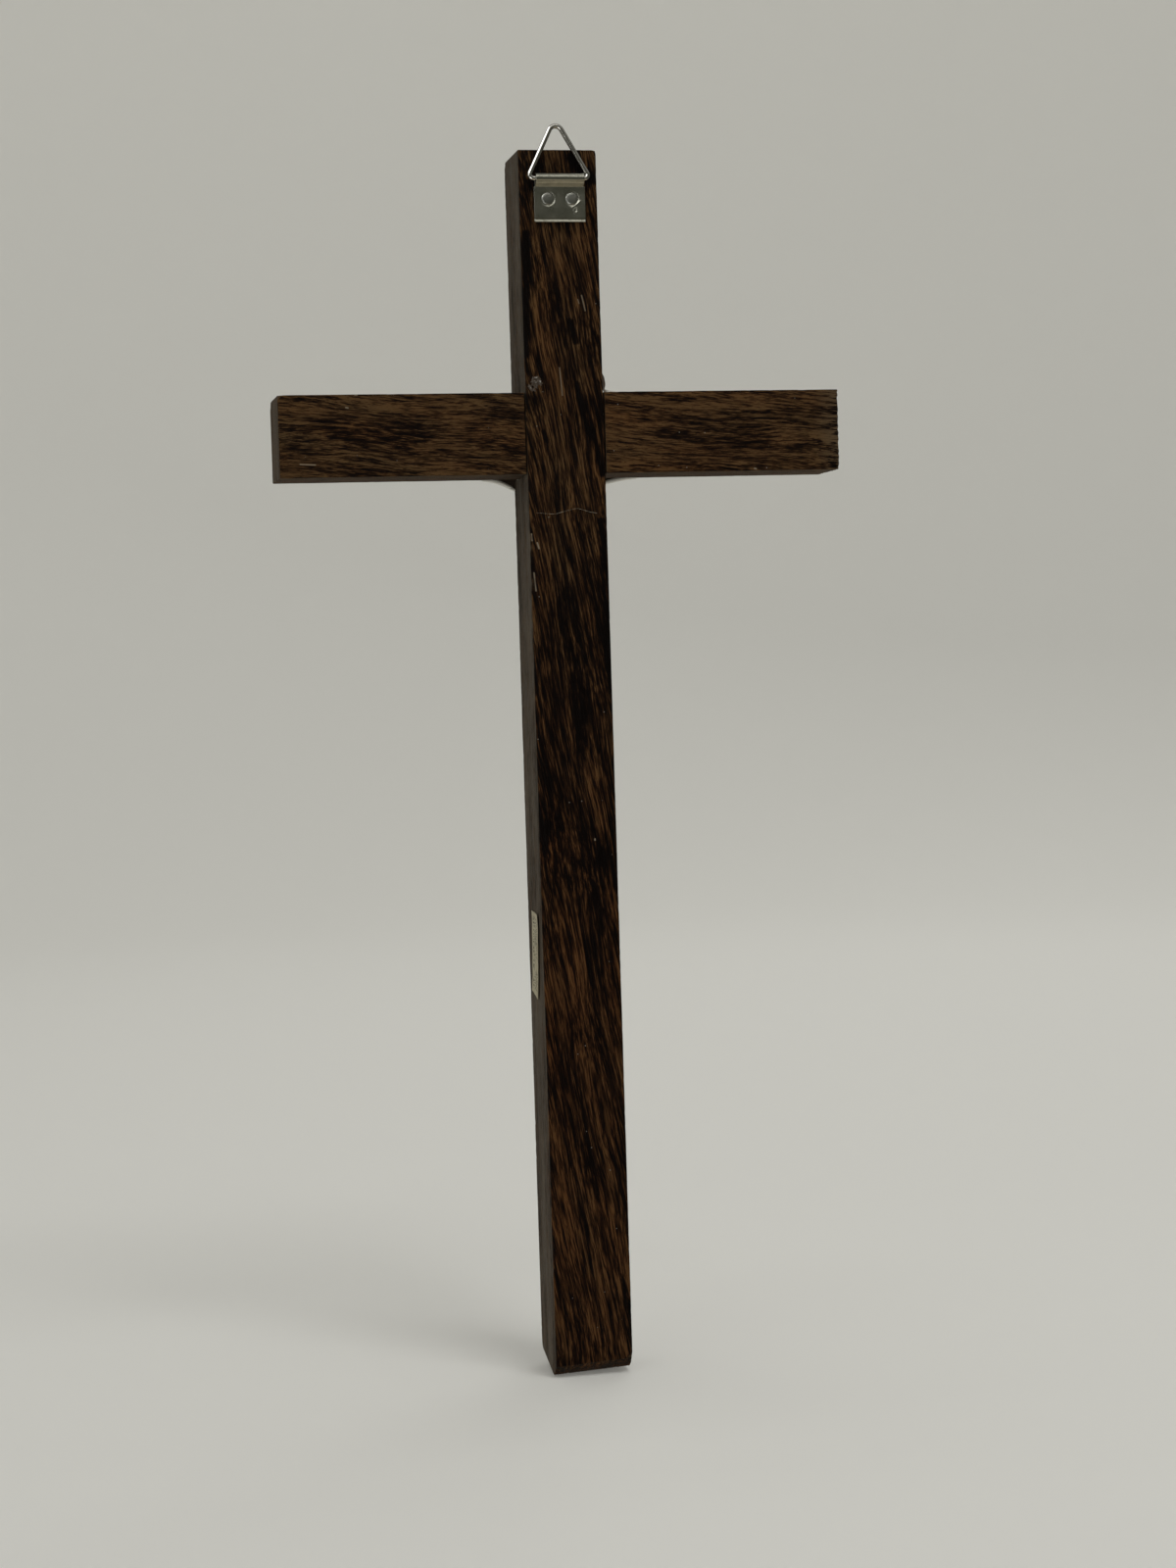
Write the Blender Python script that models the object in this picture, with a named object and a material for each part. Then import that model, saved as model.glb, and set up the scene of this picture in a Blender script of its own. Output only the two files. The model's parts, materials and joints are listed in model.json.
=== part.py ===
"""Wall cross: two lapped hardwood sticks, with a nailed strap hanger and a wire ring on the back.

Units are metres, +Z is up, the plain front faces -Y and the back, with its hanger, faces +Y.
The origin is the hanging point: the middle of the cross, under the wire at the ring's apex.
"""

import math

import bmesh
import bpy

# Clearances
FIT_GAP = 0.0003  # between two pieces that touch
CUT_OVERRUN = 0.002  # how far a cutter reaches past the face it opens

# Wood
UPRIGHT_LENGTH = 0.3064  # along its back face
UPRIGHT_WIDTH = 0.020
STOCK_THICKNESS = 0.019
BEAM_LENGTH = 0.1434
BEAM_SHIFT = 0.0003  # it was glued a little off the middle
BEAM_HEIGHT = 0.0205
BEAM_DROP = 0.0603  # top of the upright down to the top of the crossbeam
EDGE_EASE = 0.0005

# The foot was cut askew: a ridge under the back half stands lowest
RIDGE_DEPTH = 0.0038  # back face to the ridge
RIDGE_DROP = 0.0031  # end of the back face down to the ridge
FOOT_RISE = 0.0042  # ridge up to the end of the front face

# Strap hanger: one sheet folded round the ring's bar
BAR_DROP = 0.0074  # top of the upright down to the ring's bar
SHEET = 0.00035
PLATE_WIDTH = 0.0129
PLATE_SHIFT = -0.0002  # it is nailed a little off the centre line
FOLD_NOTCH = 0.0003  # the fold is narrower than the plate by this on each side
FOLD_SLOPE_DROP = 0.0020  # the bar down to where the front layer lies flat
FRONT_LAYER = 0.0078  # length of the flat front layer
BACK_LIP = 0.0009  # how far the back layer shows below the front one

# Nails
NAIL_SHANK_RADIUS = 0.00065
NAIL_LENGTH = 0.0095
NAIL_POINT = 0.0016
NAIL_HEAD_RADIUS = 0.00155
NAIL_HEAD_THICKNESS = 0.0003
NAIL_CROWN = 0.0001
NAIL_INSET = 0.0034  # plate's side edge to a nail's centre
NAIL_DROP = 0.0029  # top of the flat front layer to a nail's centre

# Ring of bent wire
WIRE_RADIUS = 0.00062
RING_END_PLAY = 0.0003  # straight bar past each end of the fold
RING_RISE = 0.0132  # bar up to the crest of the apex, along the ring
RING_CREST_RADIUS = 0.0017
RING_CORNER_RADIUS = 0.0009
RING_CREST_SHIFT = 0.0003  # the apex is bent a little off the middle

# Paper label on the middle of the upright's +X side
LABEL_WIDTH = 0.0091
LABEL_LENGTH = 0.0214
LABEL_THICKNESS = 0.0001
LABEL_RISE = 0.1044  # end of the upright's back face up to the label's centre
LABEL_TILT = math.radians(7)  # its head leans toward the back of the cross

# Facets
WIRE_SIDES = 16
CREST_STEPS = 16
CORNER_STEPS = 8
FOLD_STEPS = 20
NAIL_SIDES = 24

# Each stick is notched to the middle of its thickness, the crossbeam from the back
LAP_Y = -STOCK_THICKNESS / 2

# The fold, as seen from its end: Y out of the wood, Z up, about the bar's centre
FOLD_INSIDE = WIRE_RADIUS + FIT_GAP
FOLD_OUTSIDE = FOLD_INSIDE + SHEET
LAYER_SEAM = -FOLD_INSIDE  # where the two flat layers meet
PLATE_FACE = LAYER_SEAM + SHEET  # face of the front layer
PLATE_BOTTOM = -FOLD_SLOPE_DROP - FRONT_LAYER
BAR_OFF_WOOD = FOLD_OUTSIDE + FIT_GAP
FOLD_WIDTH = PLATE_WIDTH - 2 * FOLD_NOTCH
HEAD_SEAT = LAYER_SEAM + FIT_GAP  # underside of a nail's head


def resting_lean():
    """The angle at which the ring, leaning back, comes within the gap of the wood's top edge.

    A ring too short to reach that edge meets the back of the upright with its crest instead.
    """
    off = BAR_OFF_WOOD - FIT_GAP
    up = min(BAR_DROP, RING_RISE)
    return math.acos(WIRE_RADIUS / math.hypot(off, up)) - math.atan2(up, off)


RING_LEAN = resting_lean()
HANGING_REACH = RING_RISE - WIRE_RADIUS
BAR_Y = HANGING_REACH * math.sin(RING_LEAN)
BAR_Z = -HANGING_REACH * math.cos(RING_LEAN)
WOOD_BACK_Y = BAR_Y - BAR_OFF_WOOD
WOOD_TOP_Z = BAR_Z + BAR_DROP

WOOD_COLOUR = (0.030, 0.014, 0.007)
BEAM_COLOUR = (0.036, 0.018, 0.009)
STEEL_COLOUR = (0.52, 0.52, 0.48)
NAIL_COLOUR = (0.40, 0.40, 0.37)
PAPER_COLOUR = (0.62, 0.56, 0.40)


def clear_scene():
    for thing in list(bpy.data.objects):
        bpy.data.objects.remove(thing, do_unlink=True)


def material(name, colour, roughness, metallic=0.0):
    made = bpy.data.materials.new(name)
    made.use_nodes = True
    shader = made.node_tree.nodes["Principled BSDF"]
    shader.inputs["Base Color"].default_value = (*colour, 1.0)
    shader.inputs["Roughness"].default_value = roughness
    shader.inputs["Metallic"].default_value = metallic
    made.diffuse_color = (*colour, 1.0)
    return made


def link(thing, parent, location=(0, 0, 0)):
    bpy.context.scene.collection.objects.link(thing)
    thing.parent = parent
    thing.location = location
    return thing


def datum(name, location):
    """An empty that the pieces of one group hang from."""
    return link(bpy.data.objects.new(name, None), None, location)


def solid(name, bm, parent, finish=None, location=(0, 0, 0)):
    bmesh.ops.recalc_face_normals(bm, faces=bm.faces)
    mesh = bpy.data.meshes.new(name)
    bm.to_mesh(mesh)
    bm.free()
    if finish:
        mesh.materials.append(finish)
    return link(bpy.data.objects.new(name, mesh), parent, location)


def smooth(thing, angle=40):
    thing.data.shade_smooth()
    thing.data.set_sharp_from_angle(angle=math.radians(angle))
    return thing


def block(low, high):
    """A box between two corners."""
    bm = bmesh.new()
    bmesh.ops.create_cube(bm, size=1)
    for vert in bm.verts:
        vert.co = [a + (c + 0.5) * (b - a) for a, b, c in zip(low, high, vert.co)]
    return bm


def prism(outline, left, right):
    """A (y, z) outline extruded along X."""
    bm = bmesh.new()
    face = bm.faces.new([bm.verts.new((left, y, z)) for y, z in outline])
    moved = bmesh.ops.extrude_face_region(bm, geom=[face])["geom"]
    bmesh.ops.translate(
        bm,
        vec=(right - left, 0, 0),
        verts=[g for g in moved if isinstance(g, bmesh.types.BMVert)],
    )
    return bm


def turned(profile, sides):
    """A round piece about Y, from (radius, y) pairs that start and end on the axis."""
    bm = bmesh.new()
    verts = [bm.verts.new((radius, y, 0)) for radius, y in profile]
    edges = [bm.edges.new(pair) for pair in zip(verts, verts[1:])]
    bmesh.ops.spin(
        bm,
        geom=verts + edges,
        cent=(0, 0, 0),
        axis=(0, 1, 0),
        angle=math.tau,
        steps=sides,
        use_merge=True,
    )
    bmesh.ops.remove_doubles(bm, verts=bm.verts, dist=1e-7)
    return bm


def cut(thing, name, bm, location=(0, 0, 0)):
    """Cuts a shape out of a piece that hangs from the same empty."""
    cutter = solid(name, bm, thing.parent, location=location)
    cutter.hide_render = True
    cutter.display_type = "WIRE"
    step = thing.modifiers.new(name, "BOOLEAN")
    step.operation = "DIFFERENCE"
    step.solver = "EXACT"
    step.object = cutter


def ease_edges(thing, width):
    step = thing.modifiers.new("eased edges", "BEVEL")
    step.width = width
    step.segments = 2
    step.limit_method = "ANGLE"


def nail_places():
    """The nails' centres on the plate, as (x, z) about the bar's centre."""
    side = PLATE_WIDTH / 2 - NAIL_INSET
    z = -FOLD_SLOPE_DROP - NAIL_DROP
    return {
        "nail_left": (PLATE_SHIFT + side, z),
        "nail_right": (PLATE_SHIFT - side, z),
    }


def nail_bore(depth):
    """The room that a nail's shank takes, from the plate's face down to a depth."""
    radius = NAIL_SHANK_RADIUS + FIT_GAP
    return turned([(0, CUT_OVERRUN), (radius, CUT_OVERRUN), (radius, -depth), (0, -depth)], NAIL_SIDES)


def make_upright(wood):
    """The long stick, cut askew at its foot, notched for the crossbeam and bored for the nails."""
    half = UPRIGHT_WIDTH / 2
    ridge = -UPRIGHT_LENGTH - RIDGE_DROP
    outline = [
        (-STOCK_THICKNESS, 0),
        (0, 0),
        (0, -UPRIGHT_LENGTH),
        (-RIDGE_DEPTH, ridge),
        (-STOCK_THICKNESS, ridge + FOOT_RISE),
    ]
    stick = solid(
        "upright",
        prism(outline, -half, half),
        wood,
        material("upright_wood", WOOD_COLOUR, 0.62),
    )
    ease_edges(stick, EDGE_EASE)
    side = half + CUT_OVERRUN
    notch = block(
        (-side, -STOCK_THICKNESS - CUT_OVERRUN, -BEAM_DROP - BEAM_HEIGHT - FIT_GAP),
        (side, LAP_Y + FIT_GAP, -BEAM_DROP + FIT_GAP),
    )
    cut(stick, "lap_in_upright", notch)
    depth = NAIL_LENGTH - HEAD_SEAT + FIT_GAP
    for name, (x, z) in nail_places().items():
        cut(stick, name + "_bore", nail_bore(depth), (x, BAR_OFF_WOOD, z - BAR_DROP))


def make_crossbeam(wood):
    """The short stick, notched on the back, where the upright runs through."""
    half = BEAM_LENGTH / 2
    stick = solid(
        "crossbeam",
        block(
            (BEAM_SHIFT - half, -STOCK_THICKNESS, -BEAM_DROP - BEAM_HEIGHT),
            (BEAM_SHIFT + half, 0, -BEAM_DROP),
        ),
        wood,
        material("crossbeam_wood", BEAM_COLOUR, 0.62),
    )
    ease_edges(stick, EDGE_EASE)
    side = UPRIGHT_WIDTH / 2 + FIT_GAP
    notch = block(
        (-side, LAP_Y, -BEAM_DROP - BEAM_HEIGHT - CUT_OVERRUN),
        (side, CUT_OVERRUN, -BEAM_DROP + CUT_OVERRUN),
    )
    cut(stick, "lap_in_crossbeam", notch)


def arc(centre, radius, start, end, steps):
    """Points on an arc, angles in degrees, both ends included."""
    return [
        (
            centre[0] + radius * math.cos(math.radians(start + (end - start) * i / steps)),
            centre[1] + radius * math.sin(math.radians(start + (end - start) * i / steps)),
        )
        for i in range(steps + 1)
    ]


def slope_angle():
    """Direction, in degrees, in which the sloping front layer touches the fold."""
    corner = (PLATE_FACE, -FOLD_SLOPE_DROP)
    to_corner = math.degrees(math.atan2(corner[1], corner[0]))
    return to_corner + math.degrees(math.acos(FOLD_OUTSIDE / math.hypot(*corner)))


def strap_outline():
    """The folded strap from its end: back layer, round fold, slope, front layer."""
    lip = PLATE_BOTTOM - BACK_LIP
    return [
        (-FOLD_OUTSIDE, lip),
        *arc((0, 0), FOLD_OUTSIDE, 180, slope_angle(), FOLD_STEPS),
        (PLATE_FACE, -FOLD_SLOPE_DROP),
        (PLATE_FACE, PLATE_BOTTOM),
        (LAYER_SEAM, PLATE_BOTTOM),
        (LAYER_SEAM, lip),
    ]


def bar_room_outline():
    """The drop-shaped room inside the fold, which the bar turns in."""
    touch = slope_angle()
    bend = arc((0, 0), FOLD_INSIDE, 180, touch, FOLD_STEPS)
    y, z = bend[-1]
    down = math.radians(touch - 90)
    return [*bend, (LAYER_SEAM, z + (LAYER_SEAM - y) * math.tan(down))]


def make_hanger_plate(hanger):
    """The strap: a sheet folded round the bar, with a sunk seat and a hole for each nail."""
    left = PLATE_SHIFT + PLATE_WIDTH / 2
    right = PLATE_SHIFT - PLATE_WIDTH / 2
    strap = solid(
        "hanger_plate",
        prism(strap_outline(), right, left),
        hanger,
        material("hanger_plate_steel", STEEL_COLOUR, 0.32, 1.0),
    )
    cut(strap, "room_for_bar", prism(bar_room_outline(), right - CUT_OVERRUN, left + CUT_OVERRUN))
    clear = FOLD_OUTSIDE + CUT_OVERRUN
    low = (-clear, -FOLD_SLOPE_DROP)
    high = (clear, clear)
    cut(strap, "notch_left", block((left - FOLD_NOTCH, *low), (left + CUT_OVERRUN, *high)))
    cut(strap, "notch_right", block((right - CUT_OVERRUN, *low), (right + FOLD_NOTCH, *high)))
    sunk = NAIL_HEAD_RADIUS + FIT_GAP
    for name, (x, z) in nail_places().items():
        seat = [(0, clear), (sunk, clear), (sunk, LAYER_SEAM), (0, LAYER_SEAM)]
        cut(strap, name + "_seat", turned(seat, NAIL_SIDES), (x, 0, z))
        cut(strap, name + "_hole", nail_bore(clear), (x, 0, z))
    smooth(strap, 30)


def make_nails(hanger):
    finish = material("nail_steel", NAIL_COLOUR, 0.35, 1.0)
    profile = [
        (0, NAIL_HEAD_THICKNESS + NAIL_CROWN),
        (NAIL_HEAD_RADIUS / 2, NAIL_HEAD_THICKNESS + NAIL_CROWN * 3 / 4),
        (NAIL_HEAD_RADIUS, NAIL_HEAD_THICKNESS),
        (NAIL_HEAD_RADIUS, 0),
        (NAIL_SHANK_RADIUS, 0),
        (NAIL_SHANK_RADIUS, NAIL_POINT - NAIL_LENGTH),
        (0, -NAIL_LENGTH),
    ]
    for name, (x, z) in nail_places().items():
        smooth(solid(name, turned(profile, NAIL_SIDES), hanger, finish, (x, HEAD_SEAT, z)))


def leg_normal(corner, crest):
    """Direction, in degrees, square to the straight leg between a corner bend and the crest."""
    across = crest[0] - corner[0]
    up = crest[1] - corner[1]
    turn = math.acos((RING_CORNER_RADIUS - RING_CREST_RADIUS) / math.hypot(across, up))
    return math.degrees(math.atan2(up, across) - turn)


def ring_path():
    """The wire's centre line in (x, z): bar, corner, leg, crest, leg, corner."""
    half_bar = FOLD_WIDTH / 2 + RING_END_PLAY
    crest = (RING_CREST_SHIFT, RING_RISE - RING_CREST_RADIUS)
    left = (half_bar, RING_CORNER_RADIUS)
    right = (-half_bar, RING_CORNER_RADIUS)
    left_leg = leg_normal(left, crest)
    right_leg = 180 - leg_normal(left, (-crest[0], crest[1]))
    return [
        *arc(left, RING_CORNER_RADIUS, -90, left_leg, CORNER_STEPS),
        *arc(crest, RING_CREST_RADIUS, left_leg, right_leg, CREST_STEPS),
        *arc(right, RING_CORNER_RADIUS, right_leg, 270, CORNER_STEPS),
    ]


def wire_loop(path, radius, sides):
    """A closed round wire along a flat loop of (x, z) points, mitred at each point."""
    bm = bmesh.new()
    rings = []
    for (x0, z0), (x, z), (x1, z1) in zip([path[-1], *path], path, [*path[1:], path[0]]):
        incoming = math.atan2(z - z0, x - x0)
        outgoing = math.atan2(z1 - z, x1 - x)
        bend = math.remainder(outgoing - incoming, math.tau) / 2
        across = incoming + bend - math.pi / 2
        mitre = radius / math.cos(bend)
        ring = []
        for k in range(sides):
            turn = math.tau * k / sides
            out = mitre * math.cos(turn)
            place = (x + out * math.cos(across), radius * math.sin(turn), z + out * math.sin(across))
            ring.append(bm.verts.new(place))
        rings.append(ring)
    for ring, after in zip(rings, [*rings[1:], rings[0]]):
        for k in range(sides):
            n = (k + 1) % sides
            bm.faces.new((ring[k], ring[n], after[n], after[k]))
    return bm


def make_ring(hanger):
    """The ring, its origin on the bar that it swings on, leaning on the wood's top edge."""
    ring = solid(
        "hanger_ring",
        wire_loop(ring_path(), WIRE_RADIUS, WIRE_SIDES),
        hanger,
        material("ring_wire", STEEL_COLOUR, 0.18, 1.0),
    )
    ring.rotation_euler = (RING_LEAN, 0, 0)
    smooth(ring, 60)


def make_label(wood):
    low = (0, -LABEL_WIDTH / 2, -LABEL_LENGTH / 2)
    high = (LABEL_THICKNESS, LABEL_WIDTH / 2, LABEL_LENGTH / 2)
    place = (UPRIGHT_WIDTH / 2 + FIT_GAP, -STOCK_THICKNESS / 2, LABEL_RISE - UPRIGHT_LENGTH)
    paper = material("label_paper", PAPER_COLOUR, 0.8)
    label = solid("paper_label", block(low, high), wood, paper, place)
    label.rotation_euler = (-LABEL_TILT, 0, 0)


def main():
    clear_scene()
    wood = datum("wood_back_top", (0, WOOD_BACK_Y, WOOD_TOP_Z))
    hanger = datum("hanger_bar_axis", (0, BAR_Y, BAR_Z))
    make_upright(wood)
    make_crossbeam(wood)
    make_hanger_plate(hanger)
    make_nails(hanger)
    make_ring(hanger)
    make_label(wood)


main()
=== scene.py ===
"""Dresses a packed wall cross: streaked dark wood, a wire hanger, a paper label, old glue."""

import json
import math
import random

import bmesh
import bpy
from mathutils import Euler, Matrix, Vector, noise


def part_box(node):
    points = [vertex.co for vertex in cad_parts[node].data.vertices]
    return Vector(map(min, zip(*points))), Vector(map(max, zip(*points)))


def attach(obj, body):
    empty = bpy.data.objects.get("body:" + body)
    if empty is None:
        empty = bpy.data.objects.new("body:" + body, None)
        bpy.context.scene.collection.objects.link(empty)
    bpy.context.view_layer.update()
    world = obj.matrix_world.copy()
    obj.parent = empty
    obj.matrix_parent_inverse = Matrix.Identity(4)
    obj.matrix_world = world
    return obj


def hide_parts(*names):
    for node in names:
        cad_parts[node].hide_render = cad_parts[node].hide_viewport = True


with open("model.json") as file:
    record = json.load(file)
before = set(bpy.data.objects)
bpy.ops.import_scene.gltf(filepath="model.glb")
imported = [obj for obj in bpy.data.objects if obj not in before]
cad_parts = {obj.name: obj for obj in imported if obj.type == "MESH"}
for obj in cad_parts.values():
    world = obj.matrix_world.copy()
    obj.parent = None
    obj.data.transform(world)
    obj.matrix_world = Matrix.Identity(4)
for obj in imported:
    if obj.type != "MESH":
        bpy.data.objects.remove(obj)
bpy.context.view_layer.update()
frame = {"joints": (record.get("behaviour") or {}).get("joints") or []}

bl_info = {
    "name": "Wall cross with wire hanger",
    "version": (1, 0, 0),
    "blender": (4, 5, 0),
    "location": "3D View > Sidebar > Cross",
    "description": "Builds the worn bars, hanger, label and glue of a wooden wall cross",
    "category": "Add Mesh",
}

MM = 0.001
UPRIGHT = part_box("upright")
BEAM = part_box("crossbeam")
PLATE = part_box("hanger_plate")
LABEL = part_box("paper_label")
NAILS = {"nail_left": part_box("nail_left"), "nail_right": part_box("nail_right")}
BAR_AXIS = Vector(frame["joints"][0]["pos_m"])
BACK = UPRIGHT[1].y
FRONT = UPRIGHT[0].y
FLOOR = UPRIGHT[0].z
LAP = (BACK + FRONT) / 2
JOINT_GAP = 0.0003


def number(name, text, default, **extra):
    return bpy.props.FloatProperty(name=name, description=text, default=default, **extra)


def length(name, text, default, low=0.0):
    return number(name, text, default, min=low, precision=5, unit="LENGTH")


def angle(name, text, degrees):
    return number(name, text, math.radians(degrees), subtype="ANGLE")


def share(name, text, default):
    return number(name, text, default, min=0.0, max=1.0, subtype="FACTOR")


def strength(name, text, default):
    return number(name, text, default, min=0.0)


def power(name, text, default):
    return number(name, text, default, min=0.0, unit="POWER")


def colour(name, text, default):
    return bpy.props.FloatVectorProperty(
        name=name, description=text, default=default, min=0.0, max=1.0, subtype="COLOR"
    )


class WoodSettings(bpy.types.PropertyGroup):
    """The wood's colours, its figure and the wear on its edges."""

    deep: colour("Deepest streak", "Almost black lines in the wood", (0.0024, 0.0010, 0.0007))
    dark: colour("Dark wood", "Main dark colour between the flecks", (0.0120, 0.0050, 0.0021))
    brown: colour("Brown wood", "Main brown of the figure", (0.0400, 0.0175, 0.0056))
    light: colour("Light fleck", "Palest flecks of the figure", (0.1050, 0.0560, 0.0220))
    raw: colour("Raw wood", "Wood laid bare at saw cuts and nicks", (0.1100, 0.0730, 0.0390))
    # Partly painted sheen: this pale colour stands in for the pale surround mirrored at a grazing
    # angle on the sides, tops and undersides. It is also partly dust.
    dust_and_sheen: colour("Dust", "Dull film that lies on the sides", (0.1600, 0.1340, 0.1040))
    scratch: colour("Scratch", "Pale lines scraped into the wood", (0.2600, 0.2100, 0.1500))
    # How much of that painted sheen and dust covers the faces that do not look along y.
    film: share("Film", "How much of the sides the dust hides", 0.85)
    roughness: share("Roughness", "How matt the wood is", 0.58)
    upright_lean: angle("Upright's grain lean", "Grain against the upright's length", 9.0)
    beam_lean: angle("Crossbeam's grain lean", "Grain against the crossbeam's length", 5.0)
    streak_width: length("Streak width", "Width of one streak", 0.00082)
    streak_length: length("Streak length", "Length of one streak", 0.0150)
    edge_ease: length("Edge rounding", "Radius of the long edges", 0.0003)
    edge_wear: length("Edge wear", "Deepest wear along the edges", 0.00012)
    relief: length("Grain relief", "Depth of the open grain", 0.00004)
    cell: length("Mesh cell", "Length of one face along a bar", 0.0007, 0.0003)
    ridge_depth: length("Foot ridge depth", "Back face to the foot's lowest ridge", 0.0038)
    ridge_drop: length("Foot ridge drop", "End of the back face down to the ridge", 0.0031)
    foot_rise: length("Foot rise", "Ridge up to the end of the front face", 0.0042)
    foot_skew: length("Foot skew", "How much the ridge rises across the upright", 0.0009)


class HangerSettings(bpy.types.PropertyGroup):
    """The folded strap, its two nails and the wire ring."""

    sheet: length("Sheet", "Thickness of the strap's sheet", 0.00035)
    fold_radius: length("Fold radius", "Radius inside the fold", 0.00092)
    slope_drop: length("Slope drop", "Bar down to the flat front layer", 0.0020)
    front_layer: length("Front layer", "Length of the flat front layer", 0.0078)
    back_lip: length("Back lip", "How far the back layer shows below", 0.0009)
    fold_notch: length("Fold notch", "How much narrower the fold is on each side", 0.0003)
    crease: length("Crease", "Depth of the groove below the fold", 0.00016)
    flare: length("Flare", "How far the back layer's tip bends out", 0.00030)
    dimple: length("Dimple", "Depth of the hollow round each nail", 0.00016)
    head_radius: length("Nail head", "Radius of a nail's head", 0.00155)
    head_height: length("Head height", "Height of a nail's head", 0.00021)
    wire_radius: length("Wire", "Radius of the wire", 0.00062)
    ring_rise: length("Ring rise", "Bar up to the crest of the ring", 0.013198)
    crest_bend: length("Crest bend", "Radius of the bend at the crest", 0.0017)
    corner_bend: length("Corner bend", "Radius of the bends beside the bar", 0.0009)
    crest_shift: length("Crest shift", "How far the crest is bent off the middle", 0.0003)
    strap_colour: colour("Strap", "Plated sheet", (0.40, 0.40, 0.345))
    nail_colour: colour("Nails", "Bare steel heads", (0.33, 0.335, 0.31))
    wire_colour: colour("Wire", "Bright drawn wire", (0.56, 0.55, 0.52))


class LabelSettings(bpy.types.PropertyGroup):
    """A small blank-looking paper label with rows of plain strokes."""

    width: length("Width", "Across the label", 0.0091)
    height: length("Height", "Along the label", 0.0214)
    paper: length("Paper", "Thickness of the paper", 0.0001)
    lift: length("Lift", "How far its near edge stands off the wood", 0.00045)
    tilt: angle("Tilt", "Lean of its head toward the back", 7.0)
    paper_colour: colour("Paper colour", "Aged cream paper", (0.50, 0.45, 0.31))
    ink_colour: colour("Ink colour", "Faded strokes", (0.05, 0.045, 0.035))


class GlueSettings(bpy.types.PropertyGroup):
    """Dried glue at the joint, and what has stuck to the wood."""

    thickness: length("Crust", "Height of the lump of glue", 0.00040)
    rim: length("Rim", "Radius of the pale bead of a fillet", 0.00056)
    # Painted highlight: this pale colour goes on the crests of the glue and the rims of the
    # fillets, where they catch the light.
    pale: colour("Pale glue", "Glue that caught the light", (0.86, 0.84, 0.78))
    # This stained colour also fills the fillets' dark webs, where it is painted shade.
    stained: colour("Stained glue", "Glue that took the wood's colour", (0.050, 0.033, 0.020))
    hair: length("Hair", "Radius of the hair across the upright", 0.00003)


class StageSettings(bpy.types.PropertyGroup):
    """Floor, lights and camera."""

    floor_colour: colour("Floor", "Pale floor and backdrop", (0.775, 0.770, 0.728))
    room_colour: colour("Room", "Dim room on the camera's side", (0.086, 0.086, 0.070))
    card_colour: colour("Card", "Dim card behind the cross", (0.120, 0.118, 0.110))
    ceiling_colour: colour("Ceiling", "Light from overhead", (0.42, 0.41, 0.38))
    ground_colour: colour("Ground", "Warm light thrown up by the floor", (0.50, 0.43, 0.32))
    window: strength("Window", "Brightness of a tall window that the wire mirrors", 4.0)
    panel: strength("Panel", "Brightness of a ceiling panel that the steel mirrors", 1.5)
    key_power: power("Key light", "Soft light above the back", 5.2)
    top_power: power("Top light", "Wide light overhead", 5.8)
    wall_power: power("Wall light", "Light on the backdrop", 2.6)
    fill_power: power("Fill light", "Weak light on the front", 2.4)
    tent_glow: strength("Tent glow", "Even light from the backdrop all round", 0.11)
    world_strength: strength("World", "Strength of the room that the steel mirrors", 1.0)
    camera_place: bpy.props.FloatVectorProperty(
        name="Camera place",
        description="Where the camera stands",
        default=(0.143164, 0.699070, -0.135501),
        subtype="TRANSLATION",
        unit="LENGTH",
        precision=5,
    )
    camera_turn: bpy.props.FloatVectorProperty(
        name="Camera turn",
        description="Which way the camera looks",
        default=(math.radians(87.7192), math.radians(1.7877), math.radians(168.1318)),
        subtype="EULER",
    )
    lens: number("Lens", "Focal length on a 36 mm frame", 65.094, min=1.0)


class CrossSettings(bpy.types.PropertyGroup):
    """Everything that a user may change."""

    wood: bpy.props.PointerProperty(type=WoodSettings)
    hanger: bpy.props.PointerProperty(type=HangerSettings)
    label: bpy.props.PointerProperty(type=LabelSettings)
    glue: bpy.props.PointerProperty(type=GlueSettings)
    stage: bpy.props.PointerProperty(type=StageSettings)


class Value:
    """A socket in a finish. Arithmetic on it adds Math nodes."""

    def __init__(self, finish, socket):
        self.finish = finish
        self.socket = socket

    def math(self, operation, *terms):
        return self.finish.node("ShaderNodeMath", {"operation": operation}, dict(enumerate(terms)))

    def __add__(self, other):
        return self.math("ADD", self, other)

    def __sub__(self, other):
        return self.math("SUBTRACT", self, other)

    def __rsub__(self, other):
        return self.math("SUBTRACT", other, self)

    def __mul__(self, other):
        return self.math("MULTIPLY", self, other)

    def __truediv__(self, other):
        return self.math("DIVIDE", self, other)

    def __abs__(self):
        return self.math("ABSOLUTE", self)

    __radd__ = __add__
    __rmul__ = __mul__

    def larger(self, other):
        return self.math("MAXIMUM", self, other)

    def smaller(self, other):
        return self.math("MINIMUM", self, other)


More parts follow.
